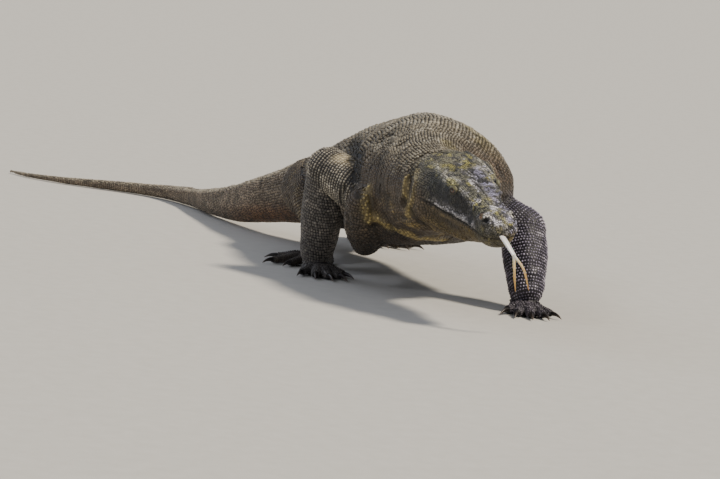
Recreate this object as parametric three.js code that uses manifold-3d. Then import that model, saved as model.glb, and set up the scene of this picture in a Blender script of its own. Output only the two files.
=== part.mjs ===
// A komodo dragon at life size, walking low with its head down and its tongue out.
// Millimetres, +Z up, head towards -Y, the animal's left side towards +X.
import * as THREE from 'three';
import { mergeVertices } from 'three/addons/utils/BufferGeometryUtils.js';
import Module from 'manifold-3d';

// ---- Driving sizes -------------------------------------------------------

const GAP = 0.42; // space left between two pieces that touch
const BODY_SIDES = 24; // facets round the neck, trunk and tail
const LIMB_SIDES = 12;
const TOE_SIDES = 6;
const CLAW_SIDES = 6;
const UP = new THREE.Vector3(0, 0, 1);

// One section of a loft: where its widest level is, half its width, how far it
// rises and drops from there, how square its top and bottom are, and its lean.
const section = (x, y, z, half, rise, drop, top = 2, bottom = 2, lean = 0) => ({
  at: new THREE.Vector3(x, y, z),
  size: new THREE.Vector3(half, rise, drop),
  shape: new THREE.Vector3(top, bottom, lean),
});

// Skull, in its own frame: the back of the crown at the origin, the snout along -Y.
const HEAD = {
  at: new THREE.Vector3(-4, -264, 329),
  yaw: 3,
  pitch: 20,
  roll: 11,
  sections: [
    section(0, -252, -50, 14, 14, 17),
    section(0, -245, -50, 28, 25, 32, 2.2, 2.2),
    section(0, -225, -50, 37, 34, 43, 2.4, 2.4),
    section(0, -192, -50, 41, 36, 52, 2.6, 2.5),
    section(0, -155, -52, 48, 44, 65, 3.2, 2.6),
    section(0, -118, -56, 57, 53, 77, 4.0, 2.7),
    section(0, -82, -60, 67, 60, 85, 3.4, 2.7),
    section(0, -45, -64, 79, 65, 88, 2.8, 2.7),
    section(0, -8, -68, 89, 68, 82, 2.4, 2.7),
    section(0, 30, -68, 82, 64, 68, 2.2, 2.5),
    section(0, 62, -66, 56, 46, 48),
    section(0, 76, -66, 22, 20, 18),
  ],
};
const MOUTH = { front: -62, back: -78, length: 250 }; // height of the lips along the skull
const EYE = { x: 46.5, y: -106, z: -17, radius: 9.5 };

// Tongue: a flat stem that leaves the lips, then two tines, in the skull's frame.
const TONGUE = {
  stem: { from: [-8, -236, -44], to: [4, -294, -72], half: 6.2, thick: 2.4 },
  tines: [
    { bend: [0, -312, -104], tip: [4, -318, -142] },
    { bend: [18, -314, -94], tip: [32, -322, -142] },
  ],
  tineRadius: [3.4, 2.8, 1.2],
};

// Neck, trunk and tail as one line of sections from inside the skull to the tail's end.
const BODY = [
  section(-6, -300, 256, 44, 40, 50, 2, 2, 9),
  section(-8, -268, 255, 72, 57, 84, 2, 2, 9),
  section(-9, -215, 255, 85, 76, 102, 1.9, 2.1, 9),
  section(0, -152, 252, 99, 96, 116, 1.85, 2.2, 9),
  section(22, -94, 245, 126, 119, 122, 1.8, 2.5, 10),
  section(52, -36, 236, 168, 143, 130, 1.7, 2.9, 9),
  section(82, 30, 230, 194, 159, 130, 1.7, 2.8, 7),
  section(100, 106, 222, 176, 156, 132, 1.75, 2.4, 5),
  section(110, 190, 214, 168, 146, 132, 2, 2.3, 4),
  section(118, 290, 202, 168, 124, 122, 2.1, 2.3, 2),
  section(128, 390, 188, 165, 96, 116, 2.2, 2.3, 1),
  section(130, 480, 174, 150, 82, 112, 2.2, 2.2, 0),
  section(124, 560, 163, 128, 80, 108, 2.1, 2.2, 0),
  section(106, 640, 147, 100, 71, 98, 2, 2.1, 0),
  section(84, 720, 127, 80, 58, 88, 2, 2.1, 0),
  section(63, 800, 108, 66, 45, 80),
  section(47, 930, 76, 49, 36, 68),
  section(40, 1100, 47, 34, 26, 48),
  section(44, 1260, 32, 24, 19, 33),
  section(22, 1390, 22, 16, 14, 23),
  section(-38, 1482, 16, 12, 10.5, 17),
  section(-118, 1550, 12, 9, 8.5, 13),
  section(-186, 1616, 9, 7, 6.5, 10),
  section(-236, 1690, 7, 5.2, 4.8, 8),
  section(-262, 1778, 5, 3, 3, 6),
];
// Where the body is divided, as a count of sections from the front.
const BODY_PIECES = [
  { node: 'neck', from: 0, to: 4.5, rings: 6, sides: BODY_SIDES },
  { node: 'chest', from: 4.5, to: 7.6, rings: 5, sides: BODY_SIDES },
  { node: 'belly', from: 7.6, to: 11, rings: 5, sides: BODY_SIDES },
  { node: 'hips', from: 11, to: 13.6, rings: 5, sides: BODY_SIDES },
  { node: 'tail_base', from: 13.6, to: 16, rings: 5, sides: BODY_SIDES },
  { node: 'tail_middle', from: 16, to: 19, rings: 6, sides: 16 },
  { node: 'tail_end', from: 19, to: 24, rings: 9, sides: 12 },
];

// Legs: joints, then the radii of each length from its upper to its lower end.
const ARM = { upper: [60, 63, 57, 52, 48], lower: [46, 51, 50, 45, 39] };
const THIGH = { upper: [66, 70, 66, 58, 50], lower: [46, 50, 44, 35, 30] };
const LEGS = [
  {
    node: 'front_left', build: ARM, hind: false,
    joints: [[150, 5, 215], [250, -118, 165], [233, -195, 48]],
    heading: -22, side: 1,
  },
  {
    node: 'front_right', build: ARM, hind: false,
    joints: [[-34, 30, 204], [-84, 172, 238], [-64, 238, 48]],
    heading: -3, side: -1,
  },
  {
    node: 'hind_left', build: THIGH, hind: true,
    joints: [[185, 565, 150], [300, 655, 156], [300, 800, 52]],
    heading: 18, side: 1,
  },
  {
    node: 'hind_right', build: THIGH, hind: true,
    joints: [[50, 560, 150], [6, 442, 154], [14, 392, 52]],
    heading: -50, side: -1,
  },
];
// A fold of the chest that hangs in front of the right arm, round like a limb.
const PECTORAL = { from: [-94, -30, 190], to: [-52, 22, 106], radii: [34, 42, 42, 34] };
// Feet: how far each toe points from the foot's heading, outwards on its own side,
// and its length from the middle of the palm to the claw's root.
const PALM = { length: 58, half: 34, height: 30 };
const FORE_TOES = { turn: [-33, -14, 3, 20, 42], reach: [78, 96, 102, 96, 78] };
const HIND_TOES = { turn: [-34, -14, 4, 22, 56], reach: [84, 112, 132, 140, 96] };
const TOE = { knuckle: 11.5, root: 12.5, tip: 8, lift: 15, tipHeight: 9 };
const CLAW = { length: 30, height: [9.5, 9.5, 7, 2], radii: [5, 4.4, 3, 0.7] };

// ---- Lofts and solids ----------------------------------------------------

const wasm = await Module();
wasm.setup();

/** Closes a run of equal rings with a point at each end and gives back one geometry. */
function closedSurface(rings) {
  const sides = rings[0].length;
  const middle = (ring) =>
    ring.reduce((sum, p) => sum.add(p), new THREE.Vector3()).divideScalar(sides);
  const points = [...rings.flat(), middle(rings[0]), middle(rings[rings.length - 1])];
  const first = rings.length * sides;
  const index = [];
  for (let j = 0; j < sides; j++) {
    const k = (j + 1) % sides;
    for (let i = 0; i + 1 < rings.length; i++) {
      const [a, b] = [i * sides + j, i * sides + k];
      index.push(a, a + sides, b, b, a + sides, b + sides);
    }
    const end = (rings.length - 1) * sides;
    index.push(first, j, k, first + 1, end + k, end + j);
  }
  const geometry = new THREE.BufferGeometry().setFromPoints(points);
  geometry.setIndex(index);
  return geometry;
}

/** A smooth line of sections that can be sampled between any two of them. */
class Loft {
  constructor(sections) {
    this.last = sections.length - 1;
    this.centre = new THREE.CatmullRomCurve3(sections.map((s) => s.at));
    this.size = new THREE.CatmullRomCurve3(sections.map((s) => s.size));
    this.shape = new THREE.CatmullRomCurve3(sections.map((s) => s.shape));
  }

  /** One ring of the loft, every size made larger by grow. */
  ring(t, sides, grow) {
    const centre = this.centre.getPoint(t);
    const size = this.size.getPoint(t);
    const shape = this.shape.getPoint(t);
    const along = this.centre.getTangent(t);
    const left = along.clone().cross(UP).normalize();
    left.applyAxisAngle(along, THREE.MathUtils.degToRad(-shape.z));
    const up = left.clone().cross(along);
    const bent = (value, power) => Math.sign(value) * Math.abs(value) ** (2 / power);
    return Array.from({ length: sides }, (_, j) => {
      const angle = (2 * Math.PI * j) / sides;
      const high = Math.sin(angle) >= 0;
      const power = high ? shape.x : shape.y;
      const height = (high ? size.y : size.z) + grow;
      return centre
        .clone()
        .addScaledVector(left, (size.x + grow) * bent(Math.cos(angle), power))
        .addScaledVector(up, height * bent(Math.sin(angle), power));
    });
  }

  /** Evenly spaced rings between two places, counted in sections from the front. */
  rings(from, to, count, sides, grow = 0) {
    return Array.from({ length: count + 1 }, (_, i) => {
      const place = from + ((to - from) * i) / count;
      return this.ring(THREE.MathUtils.clamp(place / this.last, 0, 1), sides, grow);
    });
  }

  /** The closed surface over those rings. */
  surface(...between) {
    return closedSurface(this.rings(...between));
  }
}

/** A solid that can be joined and cut, from one closed geometry. */
function solidOf(geometry) {
  const plain = new THREE.BufferGeometry();
  plain.setAttribute('position', geometry.getAttribute('position'));
  plain.setIndex(geometry.index);
  const merged = mergeVertices(plain, 1e-4);
  return new wasm.Manifold(
    new wasm.Mesh({
      numProp: 3,
      vertProperties: new Float32Array(merged.getAttribute('position').array),
      triVerts: new Uint32Array(merged.index.array),
    }),
  );
}

/** The largest single body of a solid, so that a cut leaves no loose crumbs. */
function largest(solid) {
  return solid.decompose().reduce((a, b) => (a.volume() > b.volume() ? a : b));
}

/** The part of a solid above the floor. */
const aboveFloor = (solid) => solid.trimByPlane([0, 0, 1], 0);

/** A body of round sections through the given points, for toes, claws and tines. */
function taper(points, radii, sides, flatness = 1) {
  const sections = points.map((p, i) =>
    section(...p, radii[i], radii[i] * flatness, radii[i] * flatness),
  );
  const last = points.length - 1;
  return new Loft(sections).surface(0, last, last, sides);
}

/** One length of a leg between two joints, rounded at both ends. */
function limb(from, to, radii, grow = 0) {
  const start = new THREE.Vector3(...from);
  const end = new THREE.Vector3(...to);
  const axis = end.clone().sub(start);
  const length = axis.length();
  axis.normalize();
  const first = radii[0];
  const last = radii[radii.length - 1];
  const stops = [
    [-first * 0.86, first * 0.5],
    [-first * 0.5, first * 0.86],
    ...radii.map((r, i) => [(length * i) / (radii.length - 1), r]),
    [length + last * 0.5, last * 0.86],
    [length + last * 0.86, last * 0.5],
  ];
  const sections = stops.map(([along, r]) => {
    const p = start.clone().addScaledVector(axis, along);
    return section(p.x, p.y, p.z, r, r, r);
  });
  const loft = new Loft(sections);
  return solidOf(loft.surface(0, loft.last, stops.length - 1, LIMB_SIDES, grow));
}

// ---- The animal ----------------------------------------------------------

const dragon = new THREE.Group();
const MATERIALS = {
  hide: new THREE.MeshStandardMaterial({ color: 0x5b4c39, roughness: 0.75 }),
  hide_dark: new THREE.MeshStandardMaterial({ color: 0x3a3532, roughness: 0.6 }),
  claw: new THREE.MeshStandardMaterial({ color: 0x2a2522, roughness: 0.4 }),
  eye: new THREE.MeshStandardMaterial({ color: 0x1a120b, roughness: 0.1 }),
  tongue: new THREE.MeshStandardMaterial({ color: 0xd9b77a, roughness: 0.4 }),
};

/** Adds one solid to the animal as a named piece. */
function add(name, solid, material) {
  const mesh = solid.getMesh();
  const geometry = new THREE.BufferGeometry();
  const points = new Float32Array(mesh.numVert * 3);
  for (let i = 0; i < mesh.numVert; i++) {
    const start = i * mesh.numProp;
    points.set(mesh.vertProperties.subarray(start, start + 3), i * 3);
  }
  geometry.setAttribute('position', new THREE.BufferAttribute(points, 3));
  geometry.setIndex(new THREE.BufferAttribute(mesh.triVerts, 1));
  geometry.computeVertexNormals();
  const piece = new THREE.Mesh(geometry, material);
  piece.name = name;
  dragon.add(piece);
}

// The skull's own frame, placed and turned in the animal's.
const skullFrame = new THREE.Matrix4().compose(
  HEAD.at,
  new THREE.Quaternion().setFromEuler(
    new THREE.Euler(
      THREE.MathUtils.degToRad(HEAD.pitch),
      THREE.MathUtils.degToRad(-HEAD.roll),
      THREE.MathUtils.degToRad(HEAD.yaw),
      'ZXY',
    ),
  ),
  new THREE.Vector3(1, 1, 1),
);
const placed = (geometry) => solidOf(geometry.applyMatrix4(skullFrame));
const skullLoft = new Loft(HEAD.sections);
const skull = (grow) =>
  placed(skullLoft.surface(0, skullLoft.last, 13, BODY_SIDES, grow));

/** A ball in the skull's frame, for an eye or its socket. */
function eyeball(side, radius) {
  const ball = new THREE.IcosahedronGeometry(radius, 1);
  ball.translate(side * EYE.x, EYE.y, EYE.z);
  return placed(mergeVertices(ball.deleteAttribute('normal').deleteAttribute('uv')));
}

/** The space below the lips, down to gap under them, as a block in the skull's frame. */
function belowLips(gap) {
  const slope = Math.atan2(MOUTH.back - MOUTH.front, MOUTH.length);
  const block = new THREE.BoxGeometry(300, 600, 200);
  block.translate(0, 0, -100);
  block.rotateX(slope);
  const middle = (MOUTH.front + MOUTH.back) / 2;
  block.translate(0, -MOUTH.length / 2, middle + gap);
  return placed(block);
}

const eyes = { left: 1, right: -1 };
let cranium = skull(0).subtract(belowLips(GAP / 2));
for (const [name, side] of Object.entries(eyes)) {
  cranium = cranium.subtract(eyeball(side, EYE.radius + GAP));
  add('eye_' + name, eyeball(side, EYE.radius), MATERIALS.eye);
}
const jaw = skull(0).intersect(belowLips(-GAP / 2));
add('head', largest(cranium), MATERIALS.hide);
add('lower_jaw', largest(jaw), MATERIALS.hide);

// Tongue, cut clear of the lips it comes out of.
const { stem, tines, tineRadius } = TONGUE;
const tongueParts = [
  taper([stem.from, stem.to], [stem.half, stem.half], TOE_SIDES, stem.thick / stem.half),
  ...tines.map((t) =>
    taper([stem.to, t.bend, t.tip], tineRadius, TOE_SIDES, 0.75)),
].map(placed);
const tongue = tongueParts.reduce((a, b) => a.add(b)).subtract(skull(GAP));
add('tongue', largest(tongue), MATERIALS.tongue);

// Neck, trunk and tail, divided across with a gap at each joint.
const bodyLoft = new Loft(BODY);
const spacing = bodyLoft.centre.getLength() / bodyLoft.last;
const pieceRings = ({ from, to, rings, sides }, grow = 0) =>
  bodyLoft.rings(from ? from + (1.5 * GAP) / spacing : 0, to, rings, sides, grow);
for (const piece of BODY_PIECES) {
  let solid = aboveFloor(solidOf(closedSurface(pieceRings(piece))));
  if (piece.node === 'neck') solid = solid.subtract(skull(GAP));
  add(piece.node, largest(solid), MATERIALS.hide);
}

/** The palm or sole with its five toes, flat below, and the five claws. */
function foot(leg) {
  const toes = leg.hind ? HIND_TOES : FORE_TOES;
  const [x, y] = leg.joints[2];
  const ahead = (turn) => {
    const angle = THREE.MathUtils.degToRad(leg.heading + leg.side * turn);
    return new THREE.Vector3(Math.sin(angle), -Math.cos(angle), 0);
  };
  const heel = new THREE.Vector3(x, y, PALM.height / 2);
  const along = (turn, reach, z) => {
    const p = heel.clone().addScaledVector(ahead(turn), reach);
    return [p.x, p.y, z];
  };
  const palm = new Loft(
    [-0.5, -0.35, 0, 0.45, 0.8, 0.98].map((f, i) => {
      const width = PALM.half * [0.45, 0.8, 1, 1.06, 0.9, 0.5][i];
      const thick = PALM.height * [0.5, 0.8, 0.9, 0.66, 0.5, 0.3][i];
      const p = along(0, PALM.length * f, 6);
      return section(...p, width, thick, 12, 2, 2.4);
    }),
  );
  let sole = solidOf(palm.surface(0, palm.last, 6, LIMB_SIDES));
  const claws = [];
  toes.turn.forEach((turn, i) => {
    const reach = toes.reach[i];
    const points = [
      along(turn * 0.6, reach * 0.3, 12),
      along(turn * 0.85, reach * 0.55, TOE.lift),
      along(turn, reach * 0.86, TOE.tipHeight),
      along(turn, reach, TOE.tipHeight),
    ];
    const radii = [TOE.root, TOE.knuckle, TOE.knuckle * 0.9, TOE.tip];
    sole = sole.add(solidOf(taper(points, radii, TOE_SIDES)));
    const stops = CLAW.height.map((height, k) =>
      along(turn, reach + GAP + (CLAW.length * k) / (CLAW.height.length - 1), height),
    );
    claws.push(solidOf(taper(stops, CLAW.radii, CLAW_SIDES, 1.15)));
  });
  return { sole: aboveFloor(sole), claws };
}

const roundBody = BODY_PIECES.filter((piece) => piece.sides === BODY_SIDES);
const bodyCutter = solidOf(
  closedSurface(roundBody.flatMap((piece) => pieceRings(piece, GAP))),
);
for (const leg of LEGS) {
  const [hip, knee, ankle] = leg.joints;
  const upper = limb(hip, knee, leg.build.upper).subtract(bodyCutter);
  const upperCutter = limb(hip, knee, leg.build.upper, GAP);
  const { sole, claws } = foot(leg);
  const lower = limb(knee, ankle, leg.build.lower).subtract(upperCutter).subtract(bodyCutter);
  const lowerCutter = limb(knee, ankle, leg.build.lower, GAP);
  add(leg.node + '_upper', largest(upper), MATERIALS.hide);
  add(leg.node + '_lower', largest(aboveFloor(lower)), MATERIALS.hide_dark);
  add(leg.node + '_foot', largest(sole.subtract(lowerCutter)), MATERIALS.hide_dark);
  claws.forEach((claw, i) => add(leg.node + '_claw_' + (i + 1), claw, MATERIALS.claw));
}

const [rightHip, rightKnee, rightAnkle] = LEGS[1].joints;
const pectoral = limb(PECTORAL.from, PECTORAL.to, PECTORAL.radii)
  .subtract(bodyCutter)
  .subtract(limb(rightHip, rightKnee, ARM.upper, GAP))
  .subtract(limb(rightKnee, rightAnkle, ARM.lower, GAP));
add('pectoral_fold', largest(pectoral), MATERIALS.hide);

// The origin sits on the floor below the middle of the animal's extents.
const extents = new THREE.Box3().setFromObject(dragon);
const middle = extents.getCenter(new THREE.Vector3());
dragon.position.set(-middle.x, -middle.y, -extents.min.z);

export default dragon;
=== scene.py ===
"""Dresses a walking komodo dragon as a life-size museum model.

One scaled hide goes over the solids of flesh, and the eyes, claws and tongue are pieces
of their own. All shapes are worked out in the animal's own frame: millimetres, the floor
at z = 0, the head towards -Y, its left side towards +X. Meshes are written in metres in
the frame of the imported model.
"""

from __future__ import annotations

import itertools
import logging
import math
from dataclasses import dataclass
from enum import Enum

import bmesh
import bpy
import numpy as np
from mathutils import Matrix, Vector

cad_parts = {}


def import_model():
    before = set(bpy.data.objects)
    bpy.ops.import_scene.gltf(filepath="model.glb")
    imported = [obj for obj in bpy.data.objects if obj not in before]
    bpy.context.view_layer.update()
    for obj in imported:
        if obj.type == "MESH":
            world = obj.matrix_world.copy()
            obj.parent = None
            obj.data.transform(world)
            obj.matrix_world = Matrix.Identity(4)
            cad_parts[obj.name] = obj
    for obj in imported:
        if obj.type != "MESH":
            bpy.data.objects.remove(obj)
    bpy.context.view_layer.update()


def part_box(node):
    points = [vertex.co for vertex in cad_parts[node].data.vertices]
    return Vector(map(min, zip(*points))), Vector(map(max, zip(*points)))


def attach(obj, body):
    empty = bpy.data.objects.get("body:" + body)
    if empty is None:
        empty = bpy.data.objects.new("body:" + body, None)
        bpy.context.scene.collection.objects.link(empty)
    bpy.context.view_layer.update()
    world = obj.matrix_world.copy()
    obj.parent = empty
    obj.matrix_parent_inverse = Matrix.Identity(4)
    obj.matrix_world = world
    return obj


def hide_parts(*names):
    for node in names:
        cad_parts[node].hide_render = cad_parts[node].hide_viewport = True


LOG = logging.getLogger("dragon")
Array = np.ndarray
Row = tuple[float, ...]
MM = 1000.0  # millimetres in a metre
FAR = 400.0  # mm, the distance told for points well outside a loft
FLOOR_GAP = 0.4  # mm between the hide and the floor
EASE = 0.75  # the share of its level that a point moves towards the skin at once

# ---- Small helpers ---------------------------------------------------------------------


def linear(colour: str) -> Array:
    """Turns an sRGB hex colour into linear light.

    Args:
        colour: the colour as "#rrggbb".

    Returns:
        Three linear values.
    """
    value = np.array([int(colour[i : i + 2], 16) for i in (1, 3, 5)]) / 255
    return np.where(value <= 0.04045, value / 12.92, ((value + 0.055) / 1.055) ** 2.4)


def smooth(value: Array, low: float, high: float) -> Array:
    """Smooth step: 0 at low, 1 at high, and 3t^2 - 2t^3 between them."""
    t = np.clip((value - low) / (high - low), 0, 1)
    return t * t * (3 - 2 * t)


def bell(value: Array, middle: float, width: float) -> Array:
    """A bell curve of height 1: exp(-((value - middle) / width)^2 / 2)."""
    return np.exp(-0.5 * ((value - middle) / width) ** 2)


def mix(a: Array | str, b: Array | str, share: Array) -> Array:
    """Mixes two colours by a share from 0 (a) to 1 (b).

    Args:
        a: a hex colour, or linear ones.
        b: the same.
        share: one number for each colour of the result.

    Returns:
        Linear colours, one a row.
    """
    a, b = (linear(colour) if isinstance(colour, str) else colour for colour in (a, b))
    return a + (b - a) * np.asarray(share)[:, None]


def noise(points: Array, size: float, seed: int = 0) -> Array:
    """Smooth random values from -1 to 1, the same for the same place.

    Each corner of a lattice of cubes has a hashed value, and a point takes the mix of
    its cube's eight corners by smooth steps.

    Args:
        points: places in millimetres, one a row.
        size: the cube's width in millimetres.
        seed: chooses another pattern.

    Returns:
        One value for each point.
    """
    cell = points / size + 1000.0 + 17.3 * seed
    base = np.floor(cell).astype(np.int64)
    part = cell - base
    part = part * part * (3 - 2 * part)
    total = np.zeros(len(points))
    for corner in itertools.product((0, 1), repeat=3):
        key = (base + corner) * np.array([73856093, 19349663, 83492791])
        key = (key[:, 0] ^ key[:, 1] ^ key[:, 2]) & 0xFFFFFFFF
        key = (key * 2654435761) & 0xFFFFFFFF
        key = ((key ^ (key >> 15)) * 2246822519) & 0xFFFFFFFF
        value = (key ^ (key >> 13)) / 2**31 - 1
        weight = np.prod(np.where(corner, part, 1 - part), axis=1)
        total += value * weight
    return total


def unit(vectors: Array) -> Array:
    """Scales each row to length 1."""
    return vectors / np.maximum(np.linalg.norm(vectors, axis=-1, keepdims=True), 1e-9)


# ---- Frames ----------------------------------------------------------------------------


@dataclass(frozen=True)
class Turned:
    """A frame placed and turned in the animal's: the skull has one of its own.

    The turn is by yaw about Z, then pitch (nose down) about X, then roll about Y.
    """

    at: Row = (0.0, 0.0, 0.0)
    yaw: float = 0.0
    pitch: float = 0.0
    roll: float = 0.0

    def axes(self) -> Array:
        """The frame's axes in the animal's frame, one a column.

        Returns:
            A 3 x 3 turning matrix.
        """
        z, x, y = np.radians([self.yaw, self.pitch, -self.roll])
        turn_z = [[math.cos(z), -math.sin(z), 0], [math.sin(z), math.cos(z), 0], [0, 0, 1]]
        turn_x = [[1, 0, 0], [0, math.cos(x), -math.sin(x)], [0, math.sin(x), math.cos(x)]]
        turn_y = [[math.cos(y), 0, math.sin(y)], [0, 1, 0], [-math.sin(y), 0, math.cos(y)]]
        return np.array(turn_z) @ np.array(turn_x) @ np.array(turn_y)

    def inside(self, points: Array) -> Array:
        """Points of the animal's frame, told in this one."""
        return (points - np.array(self.at)) @ self.axes()

    def outside(self, points: Array) -> Array:
        """Points of this frame, told in the animal's."""
        return np.asarray(points, float) @ self.axes().T + np.array(self.at)


SKULL = Turned(at=(-4, -264, 329), yaw=3, pitch=20, roll=11)
UNTURNED = Turned()


def to_left(local: Array) -> Array:
    """Points of the skull's frame, those of its right half mirrored to the left."""
    return np.column_stack([np.abs(local[:, 0]), local[:, 1:]])


def catmull(points: Array, place: Array) -> Array:
    """A centripetal Catmull-Rom curve through the points.

    Between two points it is the cubic whose slopes at both come from the distances, to
    the power one half, between the four points around.

    Args:
        points: the points that it passes, one a row.
        place: where to read it, counted in points from the first.

    Returns:
        One row for each place.
    """
    last = len(points) - 1
    ends = [2 * points[0] - points[1], 2 * points[-1] - points[-2]]
    full = np.vstack([ends[0], points, ends[1]])
    i = np.clip(np.floor(place).astype(int), 0, last - 1)
    t = (place - i)[:, None]
    p0, p1, p2, p3 = (full[i + k] for k in range(4))
    steps = [np.sqrt(np.linalg.norm(b - a, axis=1)) for a, b in ((p0, p1), (p1, p2), (p2, p3))]
    middle = np.where(steps[1] < 1e-4, 1.0, steps[1])[:, None]
    before = np.where(steps[0][:, None] < 1e-4, middle, steps[0][:, None])
    after = np.where(steps[2][:, None] < 1e-4, middle, steps[2][:, None])
    slope1 = ((p1 - p0) / before - (p2 - p0) / (before + middle) + (p2 - p1) / middle) * middle
    slope2 = ((p2 - p1) / middle - (p3 - p1) / (middle + after) + (p3 - p2) / after) * middle
    square = -3 * p1 + 3 * p2 - 2 * slope1 - slope2
    cube = 2 * p1 - 2 * p2 + slope1 + slope2
    return p1 + t * (slope1 + t * (square + t * cube))


@dataclass
class Fix:
    """Where points lie against a loft."""

    distance: Array  # outwards from its surface, along the section
    place: Array  # along it, counted in sections
    angle: Array  # round it, from its left side, in degrees


class Loft:
    """A smooth line of sections, each a superellipse, that can be read anywhere.

    A section is (x, y, z, half, rise, drop, top, bottom, lean): where its widest level
    is, half its width, how far it rises and drops from there, the powers of its upper
    and lower half, and its lean about the line in degrees.
    """

    PLAIN = (2.0, 2.0, 0.0)  # an ellipse that doesn't lean
    CHUNK = 20000  # points compared with all samples at once
    FINE = 40  # points a section that the line's length is measured with
    MARGIN = 1.3  # how far round the line points are looked at, in its largest size

    def __init__(self, rows: list[Row], step: float, frame: Turned = UNTURNED) -> None:
        """Samples the line.

        Args:
            rows: the sections; the last three numbers may be left out.
            step: the distance between two samples, in millimetres.
            frame: the frame that the rows are told in.
        """
        table = np.array([tuple(row) + self.PLAIN[len(row) - 6 :] for row in rows], float)
        self.table = table
        self.frame = frame
        fine = np.linspace(0, len(table) - 1, self.FINE * len(table))
        line = catmull(table[:, :3], fine)
        length = np.r_[0, np.cumsum(np.linalg.norm(np.diff(line, axis=0), axis=1))]
        self.length = length[-1]
        count = max(int(self.length / step), 4)
        self.place = np.interp(np.linspace(0, self.length, count + 1), length, fine)
        self.step = self.length / count
        self.centre, self.along, self.left, self.up, self.size = self.sections(self.place)
        reach = np.max(self.size[:, :3]) * self.MARGIN
        self.low = self.centre.min(axis=0) - reach
        self.high = self.centre.max(axis=0) + reach

    def sections(self, place: Array) -> tuple[Array, ...]:
        """Reads the line.

        Args:
            place: where, counted in sections.

        Returns:
            The centres, the directions along, left and up, and the sizes with powers.
        """
        centre = catmull(self.table[:, :3], place)
        size = catmull(self.table[:, 3:6], place)
        shape = catmull(self.table[:, 6:9], place)
        small = 0.01
        last = len(self.table) - 1
        ahead = catmull(self.table[:, :3], np.minimum(place + small, last))
        back = catmull(self.table[:, :3], np.maximum(place - small, 0))
        along = unit(ahead - back)
        left = unit(np.cross(along, [0.0, 0.0, 1.0]))
        lean = np.radians(-shape[:, 2])[:, None]
        left = left * np.cos(lean) + np.cross(along, left) * np.sin(lean)
        up = np.cross(left, along)
        return centre, along, left, up, np.hstack([size, shape[:, :2]])

    def surface(self, place: Array, angle: Array, grow: float = 0.0) -> Array:
        """Points on the surface: centre + left * half * cos^p + up * height * sin^p.

        Args:
            place: along the line, counted in sections.
            angle: round it, in degrees, of the same shape as place.
            grow: how much larger each size is.

        Returns:
            The points in the animal's frame.
        """
        flat = np.ravel(place)
        turn = np.radians(np.ravel(angle))
        centre, _, left, up, size = self.sections(flat)
        cos, sin = np.cos(turn), np.sin(turn)
        high = sin >= 0
        power = 2 / np.where(high, size[:, 3], size[:, 4])
        across = (size[:, 0] + grow) * np.sign(cos) * np.abs(cos) ** power
        height = np.where(high, size[:, 1], size[:, 2]) + grow
        height = height * np.sign(sin) * np.abs(sin) ** power
        points = centre + left * across[:, None] + up * height[:, None]
        return self.frame.outside(points).reshape(*np.shape(place), 3)

    def fix(self, points: Array) -> Fix:
        """Finds where points lie: nearest sample, then a slide along to their own plane.

        The distance is the part of a point's offset from the line that is past the
        superellipse: |offset| * (1 - 1 / r), where r^power is the section's own sum.

        Args:
            points: places in the animal's frame.

        Returns:
            Their distance, place and angle; points far away get a long distance.
        """
        local = self.frame.inside(points)
        near = np.all((local > self.low) & (local < self.high), axis=1)
        distance = np.full(len(points), FAR)
        place = np.zeros(len(points))
        angle = np.zeros(len(points))
        if not near.any():
            return Fix(distance, place, angle)
        local = local[near]
        index = np.empty(len(local), int)
        square = np.sum(self.centre**2, axis=1)
        for chunk in np.array_split(np.arange(len(local)), len(local) // self.CHUNK + 1):
            index[chunk] = np.argmin(square - 2 * local[chunk] @ self.centre.T, axis=1)
        last = len(self.centre) - 1
        for _ in range(2):
            ahead = np.sum((local - self.centre[index]) * self.along[index], axis=1)
            moved = np.clip(np.round(ahead / self.step), -3, 3).astype(int)
            index = np.clip(index + moved, 0, last)
        ahead = np.sum((local - self.centre[index]) * self.along[index], axis=1)
        exact = index + ahead / self.step
        past = np.maximum(-exact, exact - last) * self.step
        exact = np.clip(exact, 0, last)
        lower = np.minimum(exact.astype(int), last - 1)
        share = (exact - lower)[:, None]

        def read(values: Array) -> Array:
            """The sampled values at each point's own place."""
            return values[lower] * (1 - share) + values[lower + 1] * share

        offset = local - read(self.centre)
        across = np.sum(offset * read(self.left), axis=1)
        height = np.sum(offset * read(self.up), axis=1)
        size = read(self.size)
        high = height >= 0
        power = np.where(high, size[:, 3], size[:, 4])
        tall = np.where(high, size[:, 1], size[:, 2])
        cos, sin = np.abs(across) / size[:, 0], np.abs(height) / tall
        level = np.maximum(cos**power + sin**power, 1e-9) ** (1 / power)
        out = np.hypot(across, height) * (1 - 1 / np.maximum(level, 0.05))
        out = np.where(past > 0, np.hypot(np.maximum(out, 0), past), out)
        distance[near] = out
        place[near] = np.interp(exact, np.arange(last + 1), self.place)
        bent = np.arctan2(
            np.sign(height) * sin ** (power / 2), np.sign(across) * cos ** (power / 2)
        )
        angle[near] = np.degrees(bent) % 360
        return Fix(distance, place, angle)


# ---- The animal's measures -------------------------------------------------------------

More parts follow.
